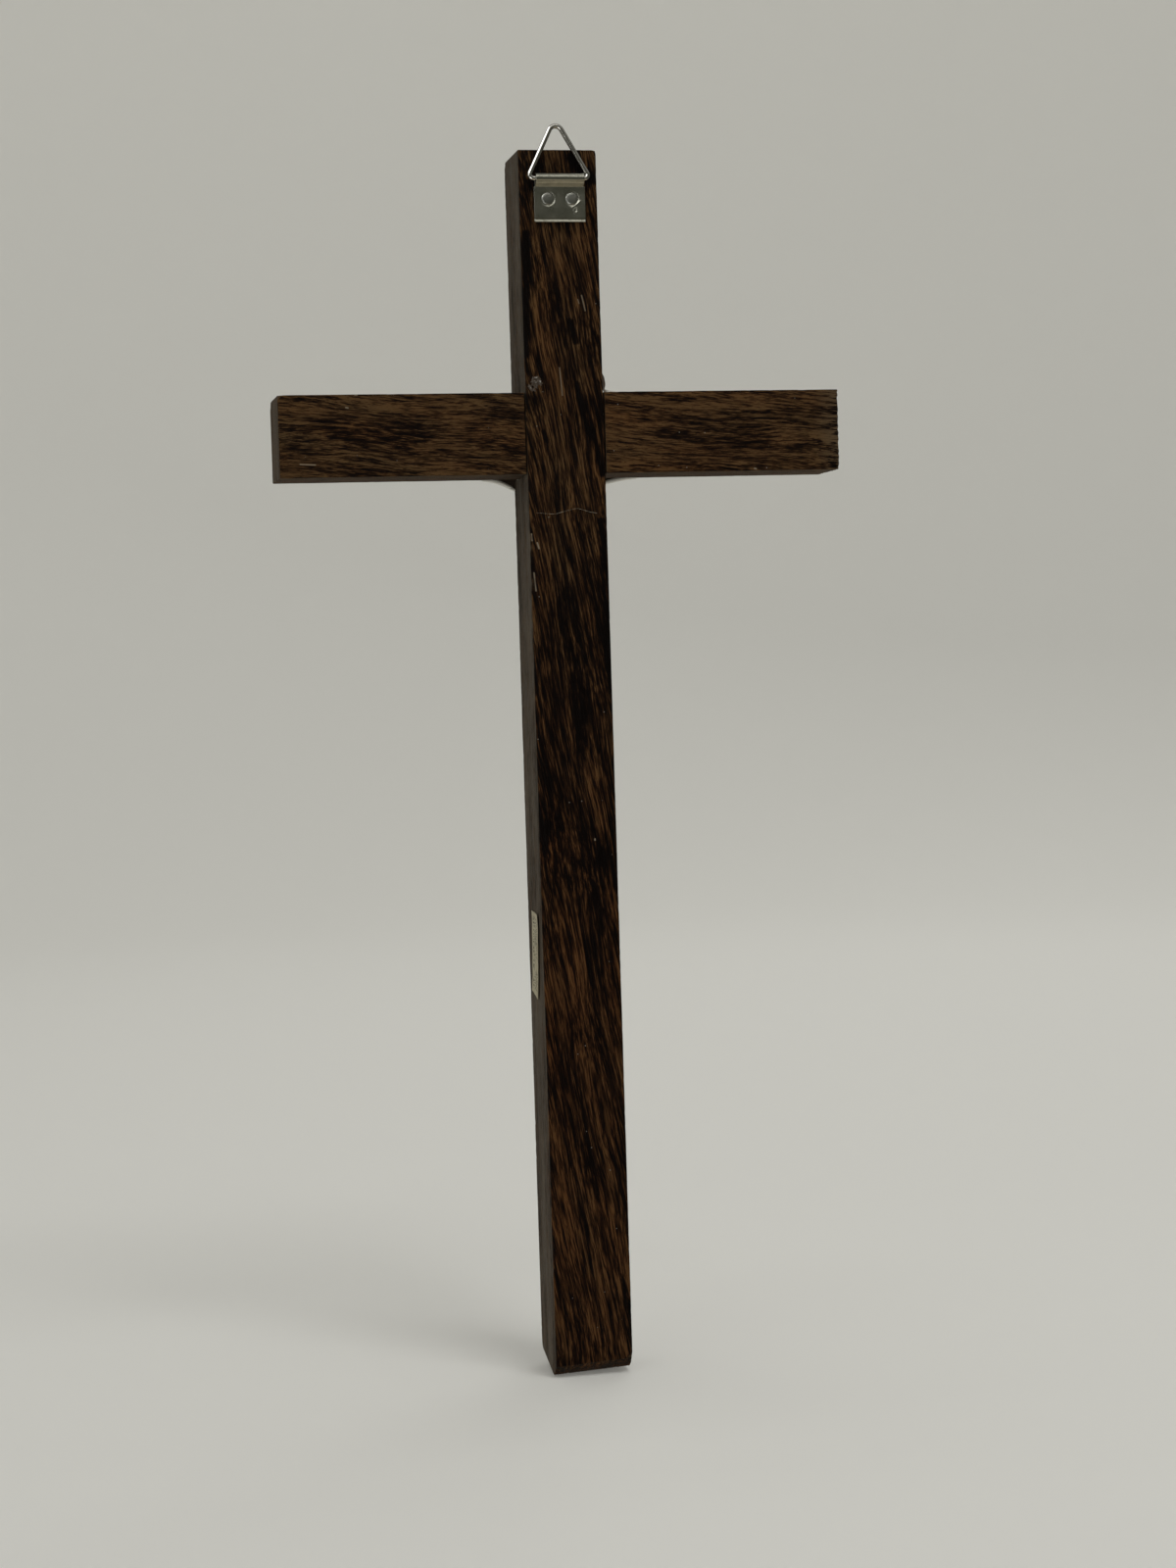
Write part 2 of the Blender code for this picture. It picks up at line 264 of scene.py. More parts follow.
class Shading:
    """A node tree being made."""

    def __init__(self, tree):
        self.tree = tree

    def feed(self, socket, value):
        if isinstance(value, Value):
            self.tree.links.new(value.socket, socket)
        elif socket.type == "RGBA" and len(value) == 3:
            socket.default_value = (*value, 1.0)
        else:
            socket.default_value = value

    def node(self, kind, settings=None, inputs=None, output=0):
        made = self.tree.nodes.new(kind)
        for name, value in (settings or {}).items():
            if name == "stops":
                self.stops(made.color_ramp, value)
            else:
                setattr(made, name, value)
        for name, value in (inputs or {}).items():
            self.feed(made.inputs[name], value)
        return Value(self, made.outputs[output])

    def stops(self, ramp, stops):
        while len(ramp.elements) < len(stops):
            ramp.elements.new(0.5)
        for element, (place, tone) in zip(ramp.elements, stops):
            element.position = place
            element.color = (*tone, 1.0)

    def place(self):
        """Places on the piece, in metres."""
        return self.node("ShaderNodeTexCoord", output="Object")

    def vector(self, operation, first, second):
        return self.node("ShaderNodeVectorMath", {"operation": operation}, {0: first, 1: second})

    def measure(self, operation, first, second):
        """One number from two vectors: their dot product or their distance."""
        settings = {"operation": operation}
        return self.node("ShaderNodeVectorMath", settings, {0: first, 1: second}, "Value")

    def along(self, vector, axis):
        return self.node("ShaderNodeSeparateXYZ", None, {"Vector": vector}, axis)

    def mix(self, amount, first, second, kind="MIX"):
        settings = {"data_type": "RGBA", "blend_type": kind}
        return self.node("ShaderNodeMix", settings, {0: amount, 6: first, 7: second}, 2)

    def ramp(self, value, stops):
        return self.node("ShaderNodeValToRGB", {"stops": stops}, {"Fac": value})

    def clouds(self, vector, size, detail=2.0, rough=0.5, bend=0.0, output="Fac"):
        """Soft noise with blobs of the given size, one number or one for each axis."""
        sizes = size if isinstance(size, tuple) else (size,) * 3
        inputs = {
            "Vector": self.vector("MULTIPLY", vector, tuple(1 / s for s in sizes)),
            "Scale": 1.0,
            "Detail": detail,
            "Roughness": rough,
            "Distortion": bend,
        }
        return self.node("ShaderNodeTexNoise", None, inputs, output)

    def drift(self, vector, size, detail, reach):
        """A push that changes smoothly from place to place, up to half of reach either way."""
        push = self.clouds(vector, size, detail, output="Color")
        return self.vector("MULTIPLY", self.vector("SUBTRACT", push, (0.5, 0.5, 0.5)), reach)

    def veins(self, noise, low, high):
        """1 along the lines where a noise passes its middle, 0 away from them."""
        return self.rise(1 - abs(noise - 0.5) * 2, low, high)

    def glint_specks(self, vector, size):
        """How far the nearest of many scattered places is, in steps of the given size."""
        scaled = self.vector("MULTIPLY", vector, (1 / size,) * 3)
        return self.node("ShaderNodeTexVoronoi", None, {"Vector": scaled, "Scale": 1.0}, "Distance")

    def rise(self, value, low, high):
        """0 below low and 1 above high, smooth between them; the other way round if low > high."""
        inputs = {"Value": value, "From Min": low, "From Max": high}
        return self.node("ShaderNodeMapRange", {"interpolation_type": "SMOOTHSTEP"}, inputs)

    def attribute(self, name):
        return self.node("ShaderNodeAttribute", {"attribute_name": name}, None, "Fac")

    def line(self, place, start, end, width):
        """1 on a straight line between two places, falling to 0 at the given half width."""
        run = Vector(end) - Vector(start)
        from_start = self.vector("SUBTRACT", place, tuple(start))
        part = self.measure("DOT_PRODUCT", from_start, tuple(run / run.length_squared))
        part = part.larger(0.0).smaller(1.0)
        runs = self.node("ShaderNodeCombineXYZ", None, {"X": part, "Y": part, "Z": part})
        nearest = self.vector("MULTIPLY", runs, tuple(run))
        gap = self.measure("DISTANCE", from_start, nearest)
        return self.rise(gap, width, width * 0.3)

    def bump(self, height, depth, strength=1.0):
        inputs = {"Height": height, "Distance": depth, "Strength": strength}
        return self.node("ShaderNodeBump", None, inputs)


class Finish(Shading):
    """A material being made, with one Principled shader at its end."""

    def __init__(self, name):
        self.material = bpy.data.materials.new(name)
        self.material.use_nodes = True
        super().__init__(self.material.node_tree)
        self.tree.nodes.clear()
        self.shader = self.tree.nodes.new("ShaderNodeBsdfPrincipled")
        end = self.tree.nodes.new("ShaderNodeOutputMaterial")
        self.tree.links.new(self.shader.outputs["BSDF"], end.inputs["Surface"])

    def surface(self, values):
        """Sets or feeds the shader's sockets by their names."""
        for name, value in values.items():
            value = tuple(value) if hasattr(value, "__len__") else value
            self.feed(self.shader.inputs[name], value)


def laid_grain(finish, place, turn, shift):
    """Places with z along the grain, which wanders as it goes."""
    inputs = {"Vector": place, "Location": shift, "Rotation": turn}
    laid = finish.node("ShaderNodeMapping", {"vector_type": "POINT"}, inputs)
    wander = finish.drift(laid, (0.012, 0.012, 0.045), 1.0, (0.0045, 0.0045, 0.0))
    return finish.vector("ADD", laid, wander)


def wood_finish(
    name, wood, turn, shift, figure, lift, marks, stains, sawn=None, sweep=0.0, redder=None
):
    """Streaked wood.

    turn and shift lay the grain. figure scales the streaks' width and length, and lift makes the
    wood paler. marks are pale scratches and stains are dark streaks. sawn is an axis, where a sawn
    end lies on it and how far the torn wood reaches. sweep is how strongly paler curls cross the
    grain. redder is a pair of heights: the wood turns redder from the first down to the second.
    """
    finish = Finish(name)
    place = finish.place()
    grain = laid_grain(finish, place, turn, shift)
    wide = wood.streak_width * figure[0]
    long = wood.streak_length * figure[1]

    def streaky(widths, lengths, *how):
        """Noise drawn out along the grain, its size in widths and lengths of a streak."""
        return finish.clouds(grain, (wide * widths, wide * widths, long * lengths), *how)

    zones = streaky(4.5, 2.6, 2.0)
    streaks = streaky(1.0, 1.0, 4.0, 0.62, 0.25)
    flecks = streaky(0.36, 0.30, 3.0, 0.6)
    tone = (zones - 0.5) * 0.70 + (streaks - 0.5) * 1.6 + (flecks - 0.5) * 1.45 + 0.5 + lift
    if sweep:
        where = finish.rise(finish.clouds(place, (0.022, 0.022, 0.009), 1.0), 0.45, 0.62)
        tone = tone + finish.veins(streaky(2.6, 2.2, 1.0), 0.86, 0.99) * where * sweep
    shaken = finish.drift(grain, (0.004, 0.004, 0.012), 2.0, (0.0016,) * 3)
    shaken = finish.vector("ADD", place, shaken)
    for start, end, width, amount in stains:
        tone = tone - finish.line(shaken, start, end, width) * amount
    stops = [(0.26, wood.deep), (0.40, wood.dark), (0.53, wood.brown), (0.74, wood.light)]
    shown = finish.ramp(tone, stops)
    warm = finish.clouds(grain, (0.006, 0.006, 0.03), 1.0)
    warm = finish.mix(warm, (1.16, 0.97, 0.82), (0.86, 1.02, 1.16))
    shown = finish.mix(1.0, shown, warm, "MULTIPLY")
    if redder is not None:
        low_down = finish.rise(finish.along(place, "Z"), *redder)
        tint = finish.mix(low_down, (1.0, 1.0, 1.0), (0.96, 0.83, 0.74))
        shown = finish.mix(1.0, shown, tint, "MULTIPLY")
    ticks = finish.rise(streaky(0.20, 0.16, 1.0), 0.60, 0.70)
    pores = ticks.larger(finish.veins(streaky(1.4, 1.5, 2.0), 0.90, 0.995) * 0.8)
    shown = finish.mix(pores * 0.72, shown, wood.deep)
    wear = finish.rise(finish.attribute("wear"), 0.30, 0.95)
    bare = wear * finish.rise(finish.clouds(place, 0.0016), 0.42, 0.62) * 0.55
    if sawn is None:
        shown = finish.mix(bare, shown, wood.raw)
    else:
        axis, end, reach = sawn
        off = finish.along(place, axis)
        notches = finish.clouds(place, (0.0050, 0.0007, 0.0005), 2.0)
        torn = finish.rise(tone * 0.6 + notches * 0.4, 0.46, 0.56) * 0.85
        bare = bare.larger(finish.rise(off, end + reach, end) * torn)
        shown = finish.mix(bare, shown, wood.raw)
        cuts = finish.rise(off, end + reach * 0.42, end + reach * 0.1)
        cuts = cuts * finish.rise(notches, 0.50, 0.42) * 0.9
        shown = finish.mix(cuts, shown, wood.deep)
    for start, end, width, amount in marks:
        shown = finish.mix(finish.line(place, start, end, width) * amount, shown, wood.scratch)
    # Painted glints: small pale specks stand in for tiny highlights on the wood.
    glint_specks = finish.rise(finish.glint_specks(place, 0.0042), 0.042, 0.020)
    shown = finish.mix(glint_specks * 0.6, shown, (0.36, 0.33, 0.29))
    # Painted sheen and dust: faces that do not look along y get a pale film. It stands in for the
    # surround mirrored at a grazing angle.
    film = streaky(0.7, 3.0, 3.0, 0.6) * 0.55
    film = film + finish.clouds(place, (0.004, 0.004, 0.03), 2.0) * 0.45
    normal = finish.node("ShaderNodeTexCoord", output="Normal")
    sheen_sides = finish.rise(abs(finish.along(normal, "Y")), 0.60, 0.25)
    # Painted shade: faces that look down get much less of the pale film, so they come out darker.
    sheen_sides = sheen_sides * (1 - finish.rise(finish.along(normal, "Z"), -0.3, -0.9) * 0.6)
    shown = finish.mix(sheen_sides * finish.rise(film, 0.24, 0.64) * wood.film, shown, wood.dust_and_sheen)
    height = tone * 0.55 - pores * 0.6 + finish.clouds(place, 0.0003, 1.0) * 0.12
    finish.surface({
        "Base Color": shown,
        "Roughness": wood.roughness + (tone - 0.5) * 0.25 + pores * 0.2 + film * 0.08,
        "Normal": finish.bump(height, 0.00016, 0.8),
        "Specular IOR Level": 0.08,
    })
    return finish.material


def steel_finish(name, tint, roughness, drawn=None, tarnish=0.35, dented=0.6):
    """Plated steel with smudges, fine scuffs and a dull bloom."""
    finish = Finish(name)
    place = finish.place()
    smudge = finish.clouds(place, 0.0032, 3.0, 0.6)
    grime = finish.rise(finish.clouds(place, 0.0011, 3.0, 0.65), 0.48, 0.72)
    scuffs = finish.clouds(place, drawn or (0.0012, 0.0012, 0.00010), 3.0, 0.7)
    dull = tuple(c * k for c, k in zip(tint, (0.50, 0.50, 0.44)))
    shown = finish.mix(grime * tarnish, tuple(tint), dull)
    shown = finish.mix(finish.rise(smudge, 0.45, 0.75) * 0.25, shown, (0.55, 0.53, 0.47))
    rough = roughness + (smudge - 0.5) * 0.22 + grime * 0.14 + (scuffs - 0.5) * 0.10
    dents = finish.clouds(place, 0.0011, 2.0) * 0.8 + scuffs * 0.20
    finish.surface({
        "Base Color": shown,
        "Metallic": 1.0,
        "Roughness": rough.larger(0.06),
        "Normal": finish.bump(dents, 0.00007, dented),
    })
    return finish.material


def paper_finish(label):
    """Aged paper with rows of plain strokes along it."""
    finish = Finish("label_aged_paper")
    place = finish.place()
    across = finish.along(place, "Y")
    along = finish.along(place, "Z")
    ink = None
    for middle, half, stroke, row in (
        (-0.0022, 0.00075, 0.00050, 3.1),
        (-0.0004, 0.00050, 0.00036, 7.7),
        (0.0012, 0.00050, 0.00036, 12.3),
        (0.0029, 0.00060, 0.00042, 19.9),
    ):
        band = finish.rise(abs(across - middle), half, half * 0.8)
        inputs = {"X": along / stroke, "Y": across / (half * 2.4), "Z": row}
        spots = finish.node("ShaderNodeCombineXYZ", None, inputs)
        strokes = finish.rise(finish.clouds(spots, 1.0, 0.0), 0.50, 0.56)
        words = finish.rise(finish.clouds(spots, (7.0, 40.0, 40.0), 0.0), 0.36, 0.42)
        mark = strokes * words * band
        ink = mark if ink is None else ink.larger(mark)
    ink = ink * finish.rise(abs(along), label.height * 0.46, label.height * 0.42)
    fibre = finish.clouds(place, 0.0004, 3.0)
    stain = finish.rise(finish.clouds(place, 0.004, 3.0), 0.45, 0.75)
    shown = finish.mix(fibre * 0.35, label.paper_colour, (0.62, 0.58, 0.45))
    shown = finish.mix(stain * 0.45, shown, (0.30, 0.24, 0.13))
    shown = finish.mix(ink * 0.92, shown, label.ink_colour)
    finish.surface({
        "Base Color": shown,
        "Roughness": 0.72 + fibre * 0.15,
        "Normal": finish.bump(fibre, 0.00005, 0.5),
    })
    return finish.material


def glue_finish(glue):
    """Dried glue: stained where it is thin and pale where it stands up; the pale on the crests and
    rims is a painted highlight.
    """
    finish = Finish("dried_glue")
    place = finish.place()
    height = finish.attribute("height")
    cloudy = finish.clouds(place, 0.0007, 3.0, 0.6)
    # Painted highlight: the higher the glue stands, the paler it is painted.
    pale = finish.rise(height + (cloudy - 0.5) * 0.4, 0.50, 0.95)
    finish.surface({
        "Base Color": finish.mix(pale, glue.stained, glue.pale),
        "Roughness": 0.30 + cloudy * 0.25,
        "Normal": finish.bump(cloudy, 0.00008, 0.6),
    })
    return finish.material


def fibre_finish(name, tint, dark):
    """A fine hair or a wood fibre, uneven along its length."""
    finish = Finish(name)
    tone = finish.clouds(finish.place(), 0.0006, 2.0)
    finish.surface({
        "Base Color": finish.mix(finish.rise(tone, 0.35, 0.65), tint, dark),
        "Roughness": 0.45 + tone * 0.2,
    })
    return finish.material


def stage_finish(tint, glow):
    """Smooth pale card that glows a little, as in a light tent."""
    finish = Finish("pale_card")
    tone = finish.clouds(finish.place(), 0.35, 2.0)
    finish.surface({
        "Base Color": finish.mix(tone * 0.05, tint, (0.66, 0.65, 0.62)),
        "Roughness": 0.75,
        "Specular IOR Level": 0.0,
        "Emission Color": (1.0, 0.985, 0.93, 1.0),
        "Emission Strength": glow,
    })
    return finish.material


def add_piece(name, mesh, finish, body, stands_for=(), place=None):
    """Puts a mesh into the scene and ties it to its body and what it stands for."""
    mesh.materials.append(finish)
    piece = bpy.data.objects.new(name, mesh)
    bpy.context.scene.collection.objects.link(piece)
    if place is not None:
        piece.matrix_world = place
    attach(piece, body)
    if stands_for:
        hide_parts(*stands_for)
    return piece


def thicken(piece, thickness, offset=0.0, even=False):
    """Gives a sheet its thickness, on both sides or inward."""
    sheet = piece.modifiers.new("Thickness", "SOLIDIFY")
    sheet.thickness = thickness
    sheet.offset = offset
    sheet.use_even_offset = even


def grid_faces(rows, count, closed=False):
    """Faces between neighbouring rows of count points; closed rows run all the way round."""
    faces = []
    for row in range(rows - 1):
        a, b = row * count, (row + 1) * count
        for k in range(count if closed else count - 1):
            n = (k + 1) % count
            faces.append((a + k, a + n, b + n, b + k))
    return faces


def tube_faces(rows, count):
    """Faces round a closed tube of rows of count points, with both its ends."""
    total = rows * count
    ends = [tuple(range(count))[::-1], tuple(range(total - count, total))]
    return grid_faces(rows, count, closed=True) + ends


def sheet_mesh(name, points, rows, columns, heights=None):
    """A smooth open sheet from rows of points, with an optional height at each point."""
    mesh = bpy.data.meshes.new(name)
    mesh.from_pydata(points, [], grid_faces(rows, columns))
    if heights is not None:
        values = mesh.attributes.new("height", "FLOAT", "POINT")
        values.data.foreach_set("value", heights)
    for face in mesh.polygons:
        face.use_smooth = True
    return mesh


def closed_mesh(name, points, faces, sharp=60.0, values=None):
    """A smooth mesh whose faces look outward. values is a name and a number for each point."""
    mesh = bpy.data.meshes.new(name)
    mesh.from_pydata(points, [], faces)
    if values is not None:
        layer = mesh.attributes.new(values[0], "FLOAT", "POINT")
        layer.data.foreach_set("value", values[1])
    bm = bmesh.new()
    bm.from_mesh(mesh)
    bmesh.ops.remove_doubles(bm, verts=bm.verts, dist=1e-7)
    bmesh.ops.dissolve_degenerate(bm, dist=1e-7, edges=bm.edges)
    bmesh.ops.recalc_face_normals(bm, faces=bm.faces)
    for face in bm.faces:
        face.smooth = True
    bm.to_mesh(mesh)
    bm.free()
    mesh.set_sharp_from_angle(angle=math.radians(sharp))
    return mesh


def waves(x, y, z):
    """Smooth noise from about -1 to 1 at a place in space."""
    return noise.noise(Vector((x, y, z)))


def bell(off, width):
    """1 at 0 and less on both sides, about a third at the width."""
    return math.exp(-((off / width) ** 2))


def bar_section(half_u, half_w, ease, cells=30, turns=5):
    """Round a bar's section: (u, w, normal u, normal w, distance to the nearest edge).

    Each side has a number of cells, closer together near the edges, and each edge some turns.
    """
    points = []
    for quarter in range(4):
        out = (half_u, half_w)[quarter % 2]
        flat = (half_w, half_u)[quarter % 2] - ease
        side = []
        for k in range(cells):
            t = 2 * k / cells - 1
            t = t * (1.25 - 0.25 * t * t)
            side.append((out, t * flat, 1.0, 0.0, flat * (1 - abs(t))))
        for k in range(turns):
            a = math.radians(90 * k / turns)
            c, s = math.cos(a), math.sin(a)
            side.append((out - ease + ease * c, flat + ease * s, c, s, 0.0))
        turn = quarter * math.pi / 2
        c, s = round(math.cos(turn)), round(math.sin(turn))
        for u, w, nu, nw, reach in side:
            points.append((c * u - s * w, s * u + c * w, c * nu - s * nw, s * nu + c * nw, reach))
    return points


END_RINGS = (0.02, 0.12, 0.25, 0.38, 0.5, 0.6, 0.7, 0.78, 0.85, 0.91, 0.96, 1.0)
NEAR_END = (0.15, 0.35, 0.55)
NEAR_CUT = (-0.2, -0.00001, 0.00001, 0.2)


def bar_stations(start, end, ease, cell, cuts, turns=4):
    """Along a bar: (place, inset, scale, normal along, distance to the end).

    The end face is rings of growing scale, its edge is a few turns, and there are more stations
    near the ends and on both sides of each cut.
    """
    first = [(start, ease, scale, -1.0, 9.0 * (1 - scale) * MM) for scale in END_RINGS]
    for k in range(1, turns + 1):
        a = math.radians(90 * k / turns)
        place, inset = start + ease * (1 - math.cos(a)), ease * (1 - math.sin(a))
        first.append((place, inset, 1.0, -math.cos(a), 0.0))
    last = [(start + end - s, i, k, -n, reach) for s, i, k, n, reach in reversed(first)]
    low, high = start + ease, end - ease
    steps = round((high - low) / cell)
    places = [low + (high - low) * k / steps for k in range(1, steps)]
    places += [low + d * MM for d in NEAR_END] + [high - d * MM for d in NEAR_END]
    places += [cut + d * MM for cut in cuts for d in NEAR_CUT]
    middle = [(s, 0.0, 1.0, 0.0, min(s - start, end - s)) for s in sorted(places)]
    return first + middle + last


def wear_at(point, edge, wood, stretch, chips):
    """How deep the surface has worn at a place, in metres."""
    edge_reach, long_waves, short_waves, chip_grit = 0.0007, 0.011, 0.0019, 0.0006
    fibres = waves(*(c / s for c, s in zip(point, stretch)))
    slow = 0.5 + 0.5 * noise.noise(point / long_waves)
    quick = max(0.0, noise.noise(point / short_waves + Vector((7, 3, 5))) - 0.15)
    along_edge = bell(edge, edge_reach)
    depth = wood.relief * (0.5 + 0.5 * fibres)
    depth += wood.edge_wear * along_edge * (0.15 + 0.65 * slow * slow + 1.1 * quick)
    for centre, radius, deep in chips:
        gap = (point - centre).length / radius
        if gap < 1:
            depth += deep * (1 - gap * gap) ** 2 * (0.8 + 0.5 * noise.noise(point / chip_grit))
    return depth


def foot_lift(point, low, high, wood):
    """How far the askew cut lifts a place near the foot of the upright above its lowest ridge."""
    reach = 0.012
    near = 1 - (point.z - low.z) / reach
    if near <= 0:
        return 0.0
    depth = high.y - point.y
    front = high.y - low.y - wood.ridge_depth
    off = depth - wood.ridge_depth
    behind, ahead = wood.ridge_drop / wood.ridge_depth, wood.foot_rise / front
    ridge_round = 0.0002
    lift = math.hypot(off, ridge_round) * (behind + ahead) / 2 + off * (ahead - behind) / 2
    return near * (max(0.0, lift) + wood.foot_skew * (high.x - point.x) / (high.x - low.x))


def worn_bar(name, low, high, along, wood, lap, chips, rough_end=None, lift=None):
    """A worn square bar from low to high, along axis 0 or 2, cut half away where it is lapped.

    lap is where the cut begins and ends along the bar, its floor and whether the back half stays.
    """
    s_axis, u_axis, w_axis = (2, 0, 1) if along == 2 else (0, 2, 1)
    half_u, half_w = ((high[axis] - low[axis]) / 2 for axis in (u_axis, w_axis))
    mid_u, mid_w = ((high[axis] + low[axis]) / 2 for axis in (u_axis, w_axis))
    ease = wood.edge_ease
    lap_low, lap_high, lap_floor, keep_back = lap
    stations = bar_stations(low[s_axis], high[s_axis], ease, wood.cell, (lap_low, lap_high))
    sections = {}
    points, depths = [], []
    stretch = [0.0005, 0.0005, 0.0005]
    stretch[s_axis] = 0.006
    least_ease, worn_through = 0.00005, 0.0003
    for s, inset, scale, ns, reach in stations:
        key = round(inset, 7)
        if key not in sections:
            rest = max(ease - inset, least_ease)
            sections[key] = bar_section(half_u - inset, half_w - inset, rest)
        lapped = lap_low < s < lap_high
        face = 1 - abs(ns)
        for u, w, nu, nw, side in sections[key]:
            point, normal = Vector((0, 0, 0)), Vector((0, 0, 0))
            point[s_axis], point[u_axis], point[w_axis] = s, mid_u + u * scale, mid_w + w * scale
            normal[s_axis], normal[u_axis], normal[w_axis] = ns, nu * face, nw * face
            normal.normalize()
            edge = min(side, reach) if face else reach
            depth = wear_at(point, edge, wood, stretch, chips)
            if rough_end is not None:
                depth += rough_end(point)
            point -= normal * depth
            if lift is not None:
                point.z += lift(point)
            if lapped:
                limit = max if keep_back else min
                point[w_axis] = limit(point[w_axis], lap_floor)
            points.append(point)
            depths.append(min(1.0, depth / worn_through))
    faces = tube_faces(len(stations), len(points) // len(stations))
    return closed_mesh(name, points, faces, 55.0, ("wear", depths))


def tube(path, radii, sides=12):
    """Points and faces of a closed round tube along a path, with a radius at each point."""
    points = []
    across = None
    for k, (here, radius) in enumerate(zip(path, radii)):
        run = (path[min(k + 1, len(path) - 1)] - path[max(k - 1, 0)]).normalized()
        guess = across if across is not None else run.orthogonal()
        across = (guess - run * guess.dot(run)).normalized()
        up = run.cross(across)
        for j in range(sides):
            a = math.tau * j / sides
            points.append(here + (across * math.cos(a) + up * math.sin(a)) * radius)
    return points, tube_faces(len(path), sides)


def join(parts):
    """Points and faces of several meshes put together."""
    points, faces = [], []
    for more, shells in parts:
        faces += [tuple(len(points) + i for i in face) for face in shells]
        points += more
    return points, faces


def smooth_path(corners, steps):
    """A smooth line through a few places."""
    rows = [corners[0], *corners, corners[-1]]
    path = []
    for a, b, c, d in zip(rows, rows[1:], rows[2:], rows[3:]):
        for k in range(steps):
            t = k / steps
            path.append(
                0.5 * (2 * b + (c - a) * t + (2 * a - 5 * b + 4 * c - d) * t * t
                       + (3 * b - a - 3 * c + d) * t ** 3)
            )
    return [*path, corners[-1]]


def strap_path(hanger):
    """The sheet's middle line in (y, z) from the bar: back layer, fold, slope, front layer.

    Also gives how many of its places come before the crease below the fold.
    """
    middle = hanger.fold_radius + hanger.sheet / 2
    outside = hanger.fold_radius + hanger.sheet
    bottom = -hanger.slope_drop - hanger.front_layer
    front = -hanger.fold_radius + hanger.sheet / 2
    face = front + hanger.sheet / 2
    touch = math.atan2(-hanger.slope_drop, face)
    touch += math.acos(outside / math.hypot(face, hanger.slope_drop))
    step, ease = 0.0002, 0.00025
    fold_steps, slope_steps, front_steps = 40, 16, 56
    path = [(-middle, bottom - hanger.back_lip + step * k) for k in range(int(-bottom / step) + 4)]
    path = [p for p in path if p[1] < -step / 2]
    for k in range(fold_steps + 1):
        a = math.pi + (touch - math.pi) * k / fold_steps
        path.append((middle * math.cos(a), middle * math.sin(a)))
    crease = len(path) - 1
    y, z = path[-1]
    across, down = math.sin(touch), -math.cos(touch)
    reach = (front - y) / across
    for k in range(1, slope_steps - 1):
        run = reach * k / slope_steps
        path.append((y + across * run, z + down * run))
    bend = z + down * reach
    path.append((front - across * ease * 0.5, bend - down * ease * 0.5))
    path.append((front - across * ease * 0.08, bend - ease * 0.25))
    start = bend - ease
    path += [(front, start + (bottom - start) * k / front_steps) for k in range(front_steps + 1)]
    return path, crease


def pressed(x, z, hanger, nails):
    """How far the nails have pressed both layers in at a place on the plate."""
    deep = 0.0
    rim_reach, rim_width, dish_radius = 0.00055, 0.00050, 0.0031
    for nail in nails:
        gap = math.hypot(x - nail.x, z - nail.z)
        rim = min(1.0, max(0.0, (hanger.head_radius + rim_reach - gap) / rim_width))
        dish = max(0.0, 1 - (gap / dish_radius) ** 2)
        deep = max(deep, hanger.dimple * (0.75 * rim * rim * (3 - 2 * rim) + 0.25 * dish))
    return deep


def front_relief(x, z, t):
    """Dents, a scored line and slow waves on the front layer."""
    dent, dent_radius, dent_depth = (-0.0042, -0.0079), 0.00055, 0.00009
    start, end = Vector((-0.0054, -0.0056)), Vector((-0.0032, -0.0073))
    score_width, score_height = 0.00020, 0.00008
    wave_size, wave_height, curl = 0.0026, 0.00004, 0.00005
    gap = math.hypot((x - dent[0]) * 1.2, z - dent[1]) / dent_radius
    out = dent_depth * (bell(gap - 1, 0.32) - math.exp(-gap * gap * 3))
    run = end - start
    spot = Vector((x, z))
    part = min(1.0, max(0.0, (spot - start).dot(run) / run.length_squared))
    off = (spot - start - run * part).length
    out += score_height * bell(off, score_width)
    out += wave_height * waves(x / wave_size, z / wave_size, 0.0)
    return out + curl * (2 * t - 1) ** 2


def strap_mesh(hanger, nails, columns=96):
    """The folded strap, creased below its fold and pressed in round its nails."""
    path, crease = strap_path(hanger)
    crease_width, wave_depth = 0.00020, 0.00004
    left, right = PLATE[1].x, PLATE[0].x
    bottom = -hanger.slope_drop - hanger.front_layer
    front = -hanger.fold_radius + hanger.sheet / 2
    runs = [0.0]
    for a, b in zip(path, path[1:]):
        runs.append(runs[-1] + math.dist(a, b))
    points = []
    for k, (y, z) in enumerate(path):
        before, after = path[max(k - 1, 0)], path[min(k + 1, len(path) - 1)]
        run = Vector((after[0] - before[0], after[1] - before[1])).normalized()
        outward = Vector((0.0, -run.y, run.x))
        notch = hanger.fold_notch if z > -hanger.slope_drop * 0.95 else 0.0
        flat = z < -hanger.slope_drop
        ahead = y > front - 0.0001
        groove = bell(runs[k] - runs[crease], crease_width)
        for j in range(columns + 1):
            t = j / columns
            x = right + notch + (left - right - 2 * notch) * t
            spot = Vector((x, y, z))
            if flat and ahead:
                spot.y += front_relief(x, z, t) - pressed(x, z, hanger, nails)
            elif flat:
                below = max(0.0, bottom - z) / hanger.back_lip
                spot.y += hanger.flare * below * below - pressed(x, z, hanger, nails)
            else:
                ripple = 0.5 + 0.5 * waves(x / 0.0017, runs[k] / 0.0011, 4.0)
                ends = 0.6 + 0.4 * abs(2 * t - 1)
                spot -= outward * (wave_depth * ripple + hanger.crease * groove * ends)
            points.append(BAR_AXIS + spot)
    return sheet_mesh("hanger_strap", points, len(path), columns + 1)


